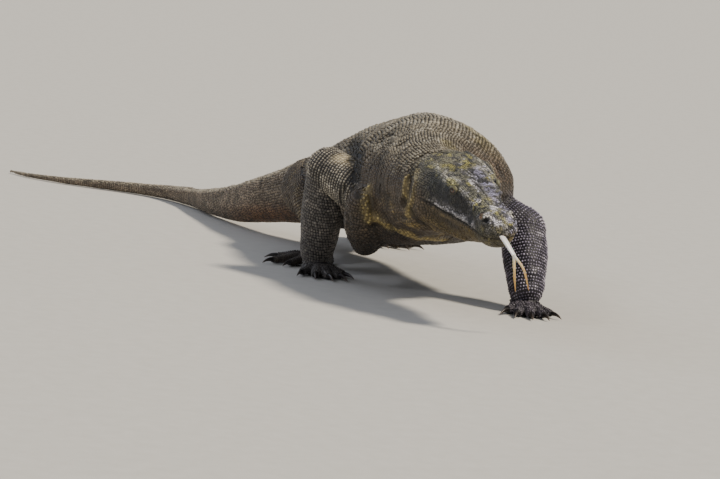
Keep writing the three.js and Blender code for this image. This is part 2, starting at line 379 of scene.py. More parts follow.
HEAD_ROWS = [
    (0, -252, -50, 14, 14, 17),
    (0, -245, -50, 28, 25, 32, 2.2, 2.2, 0),
    (0, -225, -50, 37, 34, 43, 2.4, 2.4, 0),
    (0, -192, -50, 41, 36, 52, 2.6, 2.5, 0),
    (0, -155, -52, 48, 44, 65, 3.2, 2.6, 0),
    (0, -118, -56, 57, 53, 77, 4.0, 2.7, 0),
    (0, -82, -60, 67, 60, 85, 3.4, 2.7, 0),
    (0, -45, -64, 79, 65, 88, 2.8, 2.7, 0),
    (0, -8, -68, 89, 68, 82, 2.4, 2.7, 0),
    (0, 30, -68, 82, 64, 68, 2.2, 2.5, 0),
    (0, 62, -66, 56, 46, 48),
    (0, 76, -66, 22, 20, 18),
]
BODY_ROWS = [
    (-6, -300, 256, 44, 40, 50, 2, 2, 9),
    (-8, -268, 255, 72, 57, 84, 2, 2, 9),
    (-9, -215, 255, 85, 76, 102, 1.9, 2.1, 9),
    (0, -152, 252, 99, 96, 116, 1.85, 2.2, 9),
    (22, -94, 245, 126, 119, 122, 1.8, 2.5, 10),
    (52, -36, 236, 168, 143, 130, 1.7, 2.9, 9),
    (82, 30, 230, 194, 159, 130, 1.7, 2.8, 7),
    (100, 106, 222, 176, 156, 132, 1.75, 2.4, 5),
    (110, 190, 214, 168, 146, 132, 2, 2.3, 4),
    (118, 290, 202, 168, 124, 122, 2.1, 2.3, 2),
    (128, 390, 188, 165, 96, 116, 2.2, 2.3, 1),
    (130, 480, 174, 150, 82, 112, 2.2, 2.2, 0),
    (124, 560, 163, 128, 80, 108, 2.1, 2.2, 0),
    (106, 640, 147, 100, 71, 98, 2, 2.1, 0),
    (84, 720, 127, 80, 58, 88, 2, 2.1, 0),
    (63, 800, 108, 66, 45, 80),
    (47, 930, 76, 49, 36, 68),
    (40, 1100, 47, 34, 26, 48),
    (44, 1260, 32, 24, 19, 33),
    (22, 1390, 22, 16, 14, 23),
    (-38, 1482, 16, 12, 10.5, 17),
    (-118, 1550, 12, 9, 8.5, 13),
    (-186, 1616, 9, 7, 6.5, 10),
    (-236, 1690, 7, 5.2, 4.8, 8),
    (-262, 1778, 5, 3, 3, 6),
]


@dataclass(frozen=True)
class Leg:
    """One leg: its joints, the radii of its two lengths, and how its foot points."""

    name: str
    joints: tuple[Row, Row, Row]
    upper: Row
    lower: Row
    heading: float
    side: int
    turns: Row
    reaches: Row


ARM = ((60, 63, 57, 52, 48), (46, 51, 50, 45, 39))
THIGH = ((66, 70, 66, 58, 50), (46, 50, 44, 35, 30))
FORE = ((-33, -14, 3, 20, 42), (78, 96, 102, 96, 78))
HIND = ((-34, -14, 4, 22, 56), (84, 112, 132, 140, 96))
LEGS = (
    Leg("front_left", ((150, 5, 215), (250, -118, 165), (233, -195, 48)), *ARM, -22, 1, *FORE),
    Leg("front_right", ((-34, 30, 204), (-84, 172, 238), (-64, 238, 48)), *ARM, -3, -1, *FORE),
    Leg("hind_left", ((185, 565, 150), (300, 655, 156), (300, 800, 52)), *THIGH, 18, 1, *HIND),
    Leg("hind_right", ((50, 560, 150), (6, 442, 154), (14, 392, 52)), *THIGH, -50, -1, *HIND),
)
PECTORAL = ((-94, -30, 190), (-52, 22, 106), (34, 42, 42, 34))
PALM = (58, 34, 30)  # length, half-width and height
# Each stop on the palm: share of its length, of its half-width and of its height.
PALM_STOPS = (
    (-0.5, 0.45, 0.5), (-0.35, 0.8, 0.8), (0, 1, 0.9),
    (0.45, 1.06, 0.66), (0.8, 0.9, 0.5), (0.98, 0.5, 0.3),
)
# Each stop on a toe: share of its turn, share of its reach, height and radius.
TOE_STOPS = ((0.6, 0.3, 12, 12.5), (0.85, 0.55, 15, 11.5), (1, 0.86, 9, 10.4), (1, 1, 9, 8))
EYE_AT = (46.5, -106, -17)  # the left eyeball's middle, in the skull's frame
EYE_RADIUS = 9.5
TONGUE_STEM = ((-8, -236, -44), (-3, -264, -55), (4, -294, -72))
TONGUE_TINES = (
    ((4, -294, -72), (0, -311, -104), (4, -317, -142)),
    ((4, -294, -72), (18, -312, -94), (32, -320, -142)),
)


class Part(Enum):
    """The regions of the hide that have their own rows of scales and markings."""

    BODY = "body"
    HEAD = "head"
    FOLD = "fold"
    UPPER = "upper"
    LOWER = "lower"
    FOOT = "foot"
    TOE = "toe"


@dataclass
class Form:
    """One rounded form of the flesh, and how softly it runs into the others."""

    name: str
    part: Part
    loft: Loft
    fillet: float
    leg: Leg | None = None


def limb_rows(start: Row, end: Row, radii: Row) -> list[Row]:
    """Sections of one length of a leg between two joints, rounded past both.

    Args:
        start: the upper joint.
        end: the lower joint.
        radii: its radii, evenly spaced from one joint to the other.

    Returns:
        Round sections for a loft.
    """
    a, b = np.array(start, float), np.array(end, float)
    length = float(np.linalg.norm(b - a))
    axis = (b - a) / length
    stops = [(-radii[0] * 0.86, radii[0] * 0.5), (-radii[0] * 0.5, radii[0] * 0.86)]
    stops += [(length * i / (len(radii) - 1), r) for i, r in enumerate(radii)]
    stops += [(length + radii[-1] * 0.5, radii[-1] * 0.86)]
    stops += [(length + radii[-1] * 0.86, radii[-1] * 0.5)]
    return [(*(a + axis * along), r, r, r) for along, r in stops]


def foot_point(leg: Leg, turn: float, reach: float, height: float) -> Array:
    """A point ahead of a foot's middle, turned outwards from its heading.

    Args:
        leg: the leg.
        turn: degrees outwards from the leg's heading.
        reach: how far ahead of the ankle.
        height: the height over the floor.

    Returns:
        The point.
    """
    angle = math.radians(leg.heading + leg.side * turn)
    x, y, _ = leg.joints[2]
    return np.array([x + math.sin(angle) * reach, y - math.cos(angle) * reach, height])


def foot_forms(leg: Leg) -> list[Form]:
    """The palm and the five toes of a foot.

    Args:
        leg: the leg that it ends.

    Returns:
        The forms, palm first.
    """
    length, half, high = PALM
    rows = [
        (*foot_point(leg, 0, length * stop, 6), half * width, high * tall, 12, 2, 2.4, 0)
        for stop, width, tall in PALM_STOPS
    ]
    forms = [Form(leg.name + "_foot", Part.FOOT, Loft(rows, 4), 12, leg)]
    for i, (turn, reach) in enumerate(zip(leg.turns, leg.reaches)):
        line = [
            (*foot_point(leg, turn * turned, reach * along, height), radius, radius, radius)
            for turned, along, height, radius in TOE_STOPS
        ]
        forms.append(Form(f"{leg.name}_toe_{i + 1}", Part.TOE, Loft(line, 3), 5, leg))
    return forms


def all_forms() -> list[Form]:
    """Every form of the flesh: body, head, and each leg from the shoulder down.

    Returns:
        The body's form first and the head's second.
    """
    forms = [Form("body", Part.BODY, Loft(BODY_ROWS, 10), 0)]
    forms.append(Form("head", Part.HEAD, Loft(HEAD_ROWS, 6, SKULL), 20))
    forms.append(Form("pectoral_fold", Part.FOLD, Loft(limb_rows(*PECTORAL), 6), 30))
    for leg in LEGS:
        hip, knee, ankle = leg.joints
        upper = Loft(limb_rows(hip, knee, leg.upper), 8)
        lower = Loft(limb_rows(knee, ankle, leg.lower), 8)
        forms.append(Form(leg.name + "_upper", Part.UPPER, upper, 14, leg))
        forms.append(Form(leg.name + "_lower", Part.LOWER, lower, 16, leg))
        forms += foot_forms(leg)
    return forms


# ---- Relief ----------------------------------------------------------------------------


@dataclass(frozen=True)
class Ridge:
    """A raised line, or a groove where height is negative, through a few points."""

    path: tuple[Row, ...]
    width: float
    height: float

    def lift(self, points: Array) -> Array:
        """Height times a bell curve of the distance to the line.

        Args:
            points: places in the same frame as the path.

        Returns:
            How far each point is raised.
        """
        nearest = np.full(len(points), 1e9)
        for a, b in zip(self.path, self.path[1:]):
            start, run = np.array(a, float), np.array(b, float) - np.array(a, float)
            share = np.clip((points - start) @ run / (run @ run), 0, 1)
            gap = np.linalg.norm(points - start - share[:, None] * run, axis=1)
            nearest = np.minimum(nearest, gap)
        return self.height * np.exp(-0.5 * (nearest / self.width) ** 2)


@dataclass(frozen=True)
class Mound:
    """A rounded swelling, or a hollow where height is negative."""

    at: Row
    radii: Row
    height: float

    def lift(self, points: Array) -> Array:
        """Height times a bell curve of the distance, counted in radii."""
        part = (points - np.array(self.at)) / np.array(self.radii)
        return self.height * np.exp(-0.5 * np.sum(part**2, axis=1))


EYE_OUT = (0.88, -0.4, 0.24)  # the way the left eye looks, in the skull's frame
LIP_LINE = (
    (-256, -53), (-236, -57), (-200, -62), (-150, -66), (-90, -70), (-50, -69), (-28, -64),
)
# In the skull's frame, told for its left side and mirrored.
RIM = Ridge(((80, 6, -26), (86, -8, -40), (92, -16, -58), (94, -16, -78), (95, -8, -98)), 3.4, 7.0)
SKULL_RELIEF = (
    Ridge(
        ((42, 28, -13), (49, -38, -9), (49, -76, -8), (52, -98, -4), (46, -120, -7), (37, -148, -12)),
        3.6,
        5.6,
    ),
    Ridge(((37, -148, -12), (35, -168, -17), (33, -196, -20), (29, -216, -21)), 3.2, 4.4),
    Mound((0, -104, -1), (24, 52, 14), -3.4),
    Mound((0, -190, -14), (12, 40, 12), 2.2),
    Mound((68, -58, -28), (11, 28, 12), -5.0),
    Mound((47, -158, -40), (15, 25, 15), -10.0),
    Mound((55, -127, -32), (9, 12, 9), -4.0),
    Mound((29, -230, -34), (13, 17, 17), 5.0),
    Mound((14, -246, -40), (16, 10, 16), 2.4),
    Mound((82, -34, -58), (14, 24, 26), 5.0),
    Mound((74, -62, -62), (10, 18, 12), -2.4),
    RIM,
    Ridge(((76, 26, -22), (88, 14, -44), (97, 6, -66), (99, 8, -88), (94, 18, -110)), 4.6, -9.0),
    Ridge(((82, 40, -32), (92, 28, -54), (98, 24, -80), (96, 28, -104)), 4.2, 5.0),
    Ridge(
        ((88, -32, -93), (72, -60, -108), (59, -84, -116), (46, -113, -115), (34, -150, -108)), 4.0, 4.6
    ),
    Ridge(
        ((94, 2, -108), (82, -10, -124), (60, -36, -142), (40, -70, -146), (24, -110, -136)), 4.8, -7.0
    ),
    Ridge(((92, 22, -134), (72, -8, -156), (46, -44, -166)), 6.0, 4.0),
)
# A crease behind the head on the side that it is turned from, one side only.
NAPE = Ridge(
    ((-82, 30, -44), (-72, 46, -36), (-56, 57, -32), (-40, 62, -26), (-26, 56, -18), (-8, 26, -7)),
    4.6,
    -8.0,
)
# Creases and crests of one side only, in the animal's frame: the crease round the right
# shoulder, the one between arm and chest, and the crests of chest and throat.
SHOULDER = (
    Ridge(((-70, 60, 286), (-62, 100, 293), (-42, 150, 293)), 7.0, -11.0),
    Ridge(
        ((-101, 44, 212), (-103, 52, 200), (-99, 58, 184), (-94, 62, 166), (-86, 66, 146)), 4.6, -9.0
    ),
    Ridge(((-118, 4, 200), (-124, 2, 170), (-118, 8, 138), (-104, 18, 112)), 4.0, -3.0),
    Ridge(((-112, -22, 196), (-118, -24, 168), (-112, -18, 138), (-92, -6, 104)), 4.0, -3.0),
)
# The crests of chest, throat and jowl also carry a painted highlight along their tops.
CHEST_CREST = Ridge(((-92, -50, 228), (-101, -62, 204), (-97, -64, 180), (-84, -60, 162)), 7.0, 4.5)
THROAT_CREST = Ridge(
    ((-78, -58, 170), (-49, -98, 156), (-33, -152, 148), (10, -164, 142), (60, -120, 134)), 8.0, 5.0
)
JOWL_CREST = Ridge(
    ((-84, -226, 292), (-86, -220, 270), (-84, -220, 244), (-80, -222, 218), (-70, -214, 196)), 6.0, 3.0
)
EAR_AT, EAR_RADII = (86, 22, -52), (8, 4.6, 8.5)
NOSTRIL_AT = (31, -224, -24)


def over_lips(local: Array) -> Array:
    """How far points of the skull's frame lie above the line of the lips, in mm."""
    lips = np.array(LIP_LINE, float)
    return local[:, 2] - np.interp(local[:, 1], lips[:, 0], lips[:, 1])


@dataclass(frozen=True)
class Fold:
    """A fold of the hide along a path of (place, angle) on a loft."""

    path: tuple[tuple[float, float], ...]
    width: float
    height: float

    def ridge(self, loft: Loft) -> Ridge:
        """The same fold as a ridge through points on a loft's surface.

        Args:
            loft: the loft that the path's places and angles are on.

        Returns:
            The ridge, with three steps to each stretch of the path.
        """
        path = np.array(self.path, float)
        count = 3 * (len(path) - 1) + 1
        at = np.linspace(0, len(path) - 1, count)
        place, angle = (np.interp(at, np.arange(len(path)), path[:, k]) for k in (0, 1))
        return Ridge(tuple(map(tuple, loft.surface(place, angle))), self.width, self.height)

    def mirrored(self) -> Fold:
        """The same fold on the body's other side: each angle is taken from 540."""
        path = tuple((place, (540 - angle) % 360) for place, angle in self.path)
        return Fold(path, self.width, self.height)


BODY_FOLDS = (
    Fold(((8.1, 141), (7.5, 144), (6.5, 147), (5.5, 148), (5.05, 155), (4.85, 165)), 11.0, -15.0),
    Fold(((6.3, 103), (5.9, 116), (5.5, 133), (5.15, 146), (4.85, 156), (4.65, 167)), 6.0, -9.0),
    Fold(
        ((4.5, 122), (3.95, 138), (3.7, 152), (3.6, 166), (3.55, 182), (3.2, 190), (2.8, 186)),
        5.2,
        -8.0,
    ),
    Fold(((2.9, 160), (2.95, 176), (2.8, 196), (2.6, 214)), 6.0, 3.0),
    Fold(((2.3, 126), (2.4, 150), (2.45, 170), (2.35, 192), (2.2, 212)), 4.8, -7.0),
    Fold(((3.3, 226), (3.9, 214), (4.4, 208)), 5.0, -5.0),
    Fold(((2.2, 28), (3.0, 4), (3.2, 340), (3.0, 322), (2.4, 306)), 6.0, 4.5),
    Fold(((2.7, 22), (3.5, 4), (3.7, 340), (3.4, 320), (2.9, 304)), 6.0, -6.0),
    Fold(((5.0, 12), (5.2, 350), (5.0, 326), (4.6, 300)), 8.0, -7.0),
    Fold(((1.2, 308), (2.2, 302), (3.2, 294), (4.2, 284)), 6, 4.0),
)
PAIRED_FOLDS = (
    Fold(((0.8, 246), (1.8, 252), (2.8, 260)), 5, -4.5),
    Fold(((7.6, 196), (8.6, 204), (9.8, 206), (10.8, 200)), 9, 5.0),
    Fold(((7.4, 208), (8.6, 216), (9.8, 218), (10.6, 212)), 8, -5.0),
    Fold(((12.0, 150), (13.5, 146), (15, 143), (17, 142), (19, 142)), 7, 4.5),
    Fold(((12.5, 122), (14, 120), (16, 118), (18, 118)), 7, -3.0),
    Fold(((12.5, 99), (15, 99), (17, 98), (20, 98), (23.5, 98)), 4, 3.0),
)


@dataclass
class Survey:
    """What a set of points lies on."""

    points: Array
    fixes: list[Fix]  # one for each form, the body's first and the head's second
    level: Array | None = None  # mm outside the hide
    rise: Array | None = None  # mm that relief raises the hide there
    owner: Array | None = None  # the number of the nearest form


class Flesh:
    """The animal's shape as one level: below 0 inside the hide, above 0 outside."""

    DEPTHS = {Part.BODY: 6.7, Part.HEAD: 2.2, Part.FOOT: 1.2, Part.TOE: 1.2}  # mm
    LIMB_DEPTH = 3.2
    LEG_FILLET = 9.0  # mm, where a leg runs into the trunk
    SOLE_FILLET = 2.0  # mm, where a sole turns up from the floor

    def __init__(self) -> None:
        """Gathers the forms and the folds on them."""
        self.forms = all_forms()
        self.body = self.forms[0].loft
        paired = [side for fold in PAIRED_FOLDS for side in (fold, fold.mirrored())]
        self.folds = [fold.ridge(self.body) for fold in (*BODY_FOLDS, *paired)]
        self.folds += [*SHOULDER, CHEST_CREST, THROAT_CREST, JOWL_CREST]

    @staticmethod
    def join(a: Array, b: Array, fillet: float) -> Array:
        """Smooth union: the lower level, rounded off where the two are near."""
        share = np.clip(0.5 + 0.5 * (b - a) / fillet, 0, 1)
        return b + (a - b) * share - fillet * share * (1 - share)

    def relief(self, survey: Survey) -> Array:
        """How far folds, ridges and wrinkles raise the hide.

        Args:
            survey: the points with their fixes.

        Returns:
            Millimetres outwards for each point.
        """
        points = survey.points
        body = survey.fixes[0]
        on_head = smooth(survey.fixes[1].distance, 14, 0)
        rise = np.zeros(len(points))
        for fold in self.folds:
            rise += fold.lift(points)
        under = smooth(np.sin(np.radians(body.angle)), 0.25, -0.5)
        neck = smooth(body.place, 0.2, 1.2) * smooth(body.place, 5.4, 4.0)
        stretched = points * np.array([1.0, 0.35, 1.0])
        rise += 3.0 * noise(stretched, 17, 3) * neck * (0.3 + 0.7 * under)
        rise += 2.0 * noise(stretched, 9, 4) * neck * (0.25 + 0.75 * under)
        rise += 1.6 * noise(points, 70, 5) + 0.8 * noise(points, 26, 6)
        rise = np.minimum(rise, 2.2 + 2.4 * neck)
        rise *= 1 - on_head
        local = SKULL.inside(points)
        near = (np.linalg.norm(local - np.array([0, -60, -70]), axis=1) < 240).nonzero()[0]
        local = local[near]
        left = to_left(local)
        rise[near] += sum(shape.lift(left) for shape in SKULL_RELIEF) + NAPE.lift(local)
        rise[near] += on_head[near] * self.skull_relief(local)
        return rise * smooth(points[:, 2], 2, 22)

    @staticmethod
    def crest_highlight(points: Array) -> Array:
        """The share of the painted highlight along the crests of chest, throat and jowl and along the
        head's rim.

        Args:
            points: places in the animal's frame.

        Returns:
            For each point, 0 off the crests and about 1 along them.
        """
        rim = RIM.lift(to_left(SKULL.inside(points))) / RIM.height
        crests = (CHEST_CREST, THROAT_CREST, JOWL_CREST)
        return rim + sum(ridge.lift(points) / ridge.height for ridge in crests)

    @staticmethod
    def skull_relief(local: Array) -> Array:
        """Lips, ear, nostrils and fine bumps in the skull's frame.

        Args:
            local: places in the skull's frame.

        Returns:
            Millimetres outwards for each point.
        """
        left = to_left(local)
        above = over_lips(local)
        front = smooth(local[:, 1], -22, -44)
        rise = front * (1.8 * bell(above, 6, 4) - 4.2 * bell(above, 0, 1.7))
        rise += front * (0.8 * bell(above, -6, 3.5) - 1.6 * smooth(above, 1, -3))
        ear = (left - EAR_AT) / EAR_RADII
        ear = np.linalg.norm(ear[:, 1:], axis=1)
        drum = 1.6 * bell(ear, 1.25, 0.3) - 5.5 * smooth(ear, 1.0, 0.5)
        rise += np.where(left[:, 0] > 40, drum, 0)  # on the skull's sides only
        gap = np.linalg.norm(left - NOSTRIL_AT, axis=1)
        rise += 2.2 * bell(gap, 10.0, 2.6) - 11.0 * smooth(gap, 7.2, 4.2)
        rise += 0.9 * noise(local, 15, 8) + 0.5 * noise(local, 7, 9)
        return rise

    @staticmethod
    def eye_opening(level: Array, local: Array) -> Array:
        """A dome over each eyeball with a round opening, whose edge the lids cover.

        Args:
            level: the head's level so far.
            local: places in the skull's frame.

        Returns:
            The level with both openings.
        """
        offset = to_left(local) - EYE_AT
        gap = np.linalg.norm(offset, axis=1)
        domed = Flesh.join(level, gap - EYE_RADIUS - 0.5, 4.0)  # 0.5 mm over the eyeball
        sunk = gap - EYE_RADIUS + 2.0  # 2 mm inside it
        ahead = offset @ eye_axes(1)[1]
        tilt = np.arccos(np.clip(ahead / np.maximum(gap, 1), -1, 1))
        opened = sunk + (domed - sunk) * smooth(tilt, 0.92, 1.14)
        return np.where((gap < 26) & (offset[:, 0] > 0), opened, level)

    def survey(self, points: Array) -> Survey:
        """Works out the level and all it stands on, for points of the animal's frame.

        Args:
            points: places in millimetres.

        Returns:
            Fixes, level and the number of the form that owns each point.
        """
        survey = Survey(points, [form.loft.fix(points) for form in self.forms])
        distances = np.array([fix.distance for fix in survey.fixes])
        survey.owner = np.argmin(distances, axis=0)
        level = distances[0]
        leg_level = None
        for form, distance in zip(self.forms[1:], distances[1:]):
            if form.part is Part.UPPER:
                if leg_level is not None:
                    level = self.join(level, leg_level, self.LEG_FILLET)
                leg_level = distance
            elif form.part in (Part.HEAD, Part.FOLD):
                level = self.join(level, distance, form.fillet)
            else:
                leg_level = self.join(leg_level, distance, form.fillet)
        level = self.join(level, leg_level, self.LEG_FILLET)
        survey.rise = self.relief(survey)
        level = level + self.depth(survey) - survey.rise
        level = self.eye_opening(level, SKULL.inside(points))
        floor = FLOOR_GAP - points[:, 2]
        survey.level = -self.join(-level, -floor, self.SOLE_FILLET)
        return survey

    def depth(self, survey: Survey) -> Array:
        """How deep the hide lies under the solids, to leave room for relief and scales.

        Args:
            survey: the points.

        Returns:
            Millimetres for each point.
        """
        depths = np.array([self.DEPTHS.get(form.part, self.LIMB_DEPTH) for form in self.forms])
        trunk = self.DEPTHS[Part.BODY] - 5.2 * smooth(survey.fixes[0].place, 15, 21)
        return np.where(survey.owner == 0, trunk, depths[survey.owner])

    def normals(self, points: Array, reach: float = 1.5) -> Array:
        """Outward directions: differences of the level over a small step along each axis.

        Args:
            points: places in the animal's frame.
            reach: the step, in millimetres.

        Returns:
            A unit vector for each point.
        """
        slopes = [
            self.survey(points + np.eye(3)[k] * reach).level
            - self.survey(points - np.eye(3)[k] * reach).level
            for k in range(3)
        ]
        return unit(np.column_stack(slopes))


# ---- Markings --------------------------------------------------------------------------


def arm_top(points: Array) -> Array:
    """The share, 0 to 1, of the smooth patch on top of the right upper arm, with a painted highlight.
    """
    return smooth(points[:, 2], 252, 272) * smooth(points[:, 1], 140, 110)


@dataclass(frozen=True)
class Markings:
    """The colours of hide and scales, from where a point lies on the animal."""

    # The darker and the paler scales of each kind of limb, and its ground.
    LIMBS = {
        # On the left arm the pale lilac tops are painted wet highlights; on the right upper arm the
        # cream is partly its own colour, partly painted light.
        "front_left": ("#948ca2", "#e0d8e8", "#120e14"),
        "front_right_upper": ("#a9a08e", "#ddd3bd", "#1a1613"),
        "front": ("#69645d", "#8a8278", "#302c2b"),
        "hind": ("#5f5344", "#837559", "#2a231d"),
    }

    flesh: Flesh
    blend: float = 5.0  # mm over which the colours of two forms run together

    def colours(self, survey: Survey) -> tuple[Array, Array]:
        """Works out the ground colour and the colour of the scales' tops.

        Args:
            survey: the points with their fixes and owners.

        Returns:
            Two lists of linear colours.
        """
        near = np.array([fix.distance for fix in survey.fixes])
        weight = np.exp(-(near - near.min(axis=0)) / self.blend)
        weight /= weight.sum(axis=0)
        ground = np.zeros((len(survey.points), 3))
        tops = np.zeros((len(survey.points), 3))
        for i, form in enumerate(self.flesh.forms):
            if weight[i].max() < 0.01:
                continue
            pair = self.of_form(form, survey)
            ground += pair[0] * weight[i][:, None]
            tops += pair[1] * weight[i][:, None]
        points = survey.points
        mottle = 1 + 0.28 * noise(points, 17, 51) + 0.2 * noise(points, 8, 52)
        # The relief factor paints shade into creases and a highlight onto crests; the mottle is the
        # hide's own random tone.
        relief_shade_and_mottle = (np.clip(1 + 0.1 * survey.rise, 0.3, 1.3) * np.clip(mottle, 0.5, 1.5))[:, None]
        return ground * relief_shade_and_mottle, tops * relief_shade_and_mottle

    def of_form(self, form: Form, survey: Survey) -> tuple[Array, Array]:
        """The two colours where one form has the hide to itself.

        Args:
            form: the form.
            survey: the points.

        Returns:
            Ground and tops.
        """
        if form.part is Part.HEAD:
            return self.head(survey)
        if form.part is Part.BODY:
            return self.body(survey)
        if form.part is Part.FOLD:
            ground, tops = self.body(survey)
            return ground * 0.9, tops * 0.82
        return self.leg(form, survey)

    def body(self, survey: Survey) -> tuple[Array, Array]:
        """Grey-tan back, dark brown flanks and belly, partly painted light and shade; ochre throat,
        rust under the tail.

        Args:
            survey: the points.

        Returns:
            Ground and tops.
        """
        points, fix = survey.points, survey.fixes[0]
        high = np.sin(np.radians(fix.angle))
        patch = noise(points, 60, 21)
        speck = noise(points, 15, 22)
        fine = noise(points, 6, 23)
        # Lighter and speckled on top, darker down the flanks: partly the hide's own colour, partly
        # painted light from above.
        back = smooth(high + 0.22 * patch, 0.2, 0.85)
        tops = mix("#534738", "#938a77", back)
        tops = mix(tops, "#cbc4b2", back * smooth(speck + fine * 0.5, 0.0, 0.7) * 0.6)
        tops = mix(tops, "#8f8448", back * smooth(patch - 0.3 * speck, 0.2, 0.7) * 0.5)
        far = smooth(fix.place, 5.9, 5.2) * bell(fix.angle, 12, 24)
        tops = mix(tops, "#6d5a46", far * 0.8)
        # Darker underneath: partly the hide's own colour, partly painted shade under the body.
        belly = smooth(high, -0.35, -0.9)
        tops = mix(tops, "#382e21", belly * 0.85)
        throat = smooth(fix.place, 4.6, 2.6) * smooth(high, 0.1, -0.6)
        tops = mix(tops, "#978149", throat * smooth(patch + speck * 0.5, -0.3, 0.5) * 0.8)
        # Painted highlight along the crests of chest, throat and jowl, on tops and on the ground.
        crest_highlight = np.clip(self.flesh.crest_highlight(points), 0, 0.75)
        tops = mix(tops, "#a8965c", crest_highlight)
        tail = smooth(fix.place, 12.0, 14.5)
        brown = mix("#948571", "#b8ad97", smooth(high, 0.3, 0.9))
        low = smooth(high, -0.2, -0.8) * smooth(fix.place, 17.0, 15.0)
        rust = mix(brown, "#8a5f3a", low * 0.8)
        rust = mix(rust, "#38302a", smooth(speck + 0.4 * fine, 0.15, 0.8) * 0.5)
        # Painted highlight along the ridge down each side of the tail.
        tail_ridge_highlight = smooth(np.abs(fix.angle - 90), 38, 50) * bell(high, 0.62, 0.1)
        rust = mix(rust, "#a39a86", tail_ridge_highlight * 0.7)
        tops = mix(tops, rust, tail)
        tops = mix(tops, tops * 0.55, smooth(noise(points, 30, 24), 0.1, 0.9) * 0.5)
        # Darker ground underneath as well: partly own colour, partly painted shade.
        ground = mix("#241e17", "#1c1713", belly)
        smooth_neck = smooth(fix.place, 5.2, 4.4) * bell(high, 0.3, 0.5) * smooth(fix.place, 1.0, 2.4)
        ground = mix(ground, "#4b4033", smooth_neck * 0.6)
        ground = mix(ground, "#3d3220", throat * 0.6)
        ground = mix(ground, "#2c241e", tail)
        return mix(ground, "#7d6d45", crest_highlight * 0.75), tops

    def head(self, survey: Survey) -> tuple[Array, Array]:
        """Grey-olive crown with yellow, pale and lilac patches, cheeks dark with painted shade, ochre
        chin.

        Args:
            survey: the points.

        Returns:
            Ground and tops.
        """
        local = SKULL.inside(survey.points)
        left = to_left(local)
        half, back, high = left.T
        patch = noise(local, 20, 31)
        speck = noise(local, 9, 32)
        fine = noise(local, 4.5, 33)
        rear = smooth(back, -60, 10)
        tops = mix("#7a7865", "#7b775f", rear * 0.8)
        tops = mix(tops, "#a8a052", smooth(patch + 0.5 * speck + 0.2 * rear, 0.1, 0.5) * 0.85)
        pale = smooth(noise(local, 16, 34) + 0.5 * fine, 0.0, 0.45)
        away = smooth(local[:, 0], -44, -14) + smooth(back, -110, -150)
        tops = mix(tops, "#dfdbe3", pale * smooth(back, 10, -70) * np.clip(away, 0.15, 1) * 0.95)
        far = smooth(local[:, 0], 0, 14) * smooth(back, -30, -70)
        tops = mix(tops, "#b0accf", far * smooth(speck - 0.3 * patch, -0.6, 0.1) * 0.85)
        spots = noise(local, 8, 36) + 0.7 * fine + 0.2 * far
        tops = mix(tops, "#25242c", smooth(spots, 0.04, 0.36) * 0.92)
        # Painted highlights: a pale line along the brow's edge, then along the brow ridge.
        edge = bell(half, 44, 7) * smooth(high, -24, -14) * smooth(back, -30, -60)
        tops = mix(tops, "#d2cfc6", edge * smooth(fine, -0.4, 0.3) * 0.7)
        rim = bell(half, 47, 6) * bell(high, -9, 6)
        rim = rim * smooth(back, -100, -84) * smooth(back, 20, -4)
        tops = mix(tops, "#cdc8b6", rim * smooth(speck + fine, -0.6, 0.1) * 0.8)
        # Painted shade: the sides of snout and cheeks made dark, on tops here and on the ground below.
        side = smooth(high, -10, -21) * smooth(half, 26, 44)
        side = side * smooth(back, -204, -178) * smooth(back, 40, 10)
        dark = mix("#24262c", "#50504a", smooth(speck, 0, 0.7))
        tops = mix(tops, dark, side * 0.95)
        above = over_lips(local)
        label = bell(above, 8.0, 5.5) * smooth(back, -40, -80) * smooth(back, -225, -190)
        tops = mix(tops, "#cfcacb", label * smooth(noise(local, 10, 35), -0.5, 0.2) * 0.9)
        ochre = mix("#6f5e30", "#443a20", smooth(speck, 0, 0.7))
        jaw = mix("#564930", "#3a3024", smooth(speck, -0.3, 0.5))
        jaw = mix(jaw, ochre, smooth(back, -130, -190))
        tops = mix(tops, jaw, smooth(above, 2, -6) * smooth(back, 30, -20) * 0.95)
        cheek = smooth(back, -165, -120) * smooth(back, 30, 0)
        for height, width, shade in ((-10, 4, "#807153"), (-24, 6, "#28221a"), (-40, 6, "#857440")):
            tops = mix(tops, shade, cheek * bell(above, height, width) * 0.75)
        front = smooth(back, -196, -222)
        tops = mix(tops, ochre, front * smooth(above, 14, 3) * 0.9)
        nose = left - NOSTRIL_AT
        low = smooth(high, -23, -33) * smooth(back, -176, -204) * smooth(-local[:, 0], -16, 4)
        tops = mix(tops, mix("#3b3826", "#6a6340", speck > 0.25), low * 0.9)
        gap = np.linalg.norm(nose, axis=1)
        # Painted shade below and behind the nostril, painted highlight on its upper rim.
        tops = mix(tops, "#2c2920", smooth(gap, 17, 10) * smooth(nose[:, 2], 3, -3) * 0.9)
        tops = mix(tops, "#dcd6cc", bell(gap, 11, 2.6) * smooth(nose[:, 2], 1, 5) * 0.9)
        brow = np.linalg.norm((left - [48, -92, -6]) / [13, 20, 9], axis=1)
        tops = mix(tops, "#9a9450", smooth(brow, 1.2, 0.5) * smooth(speck + fine, -0.7, 0.0) * 0.8)
        spot = np.linalg.norm((local - [-30, -205, -26]) / [12, 9, 7], axis=1)
        tops = mix(tops, "#9a6b2c", smooth(spot, 1.1, 0.4) * 0.85)
        tops = mix(tops, "#5d5138", smooth(back, 24, 60) * 0.8)
        tops = mix(tops, "#5d4f31", smooth(above, -16, -34) * 0.8)
        # The ground darker on the sides as well: painted shade.
        ground = mix("#2a2822", "#17181d", side)
        ground = mix(ground, "#3d3219", smooth(above, 4, -6) * 0.7)
        # Painted shade: the nostril's pit near black.
        ground = mix(ground, "#060505", smooth(gap, 8.4, 6.0))
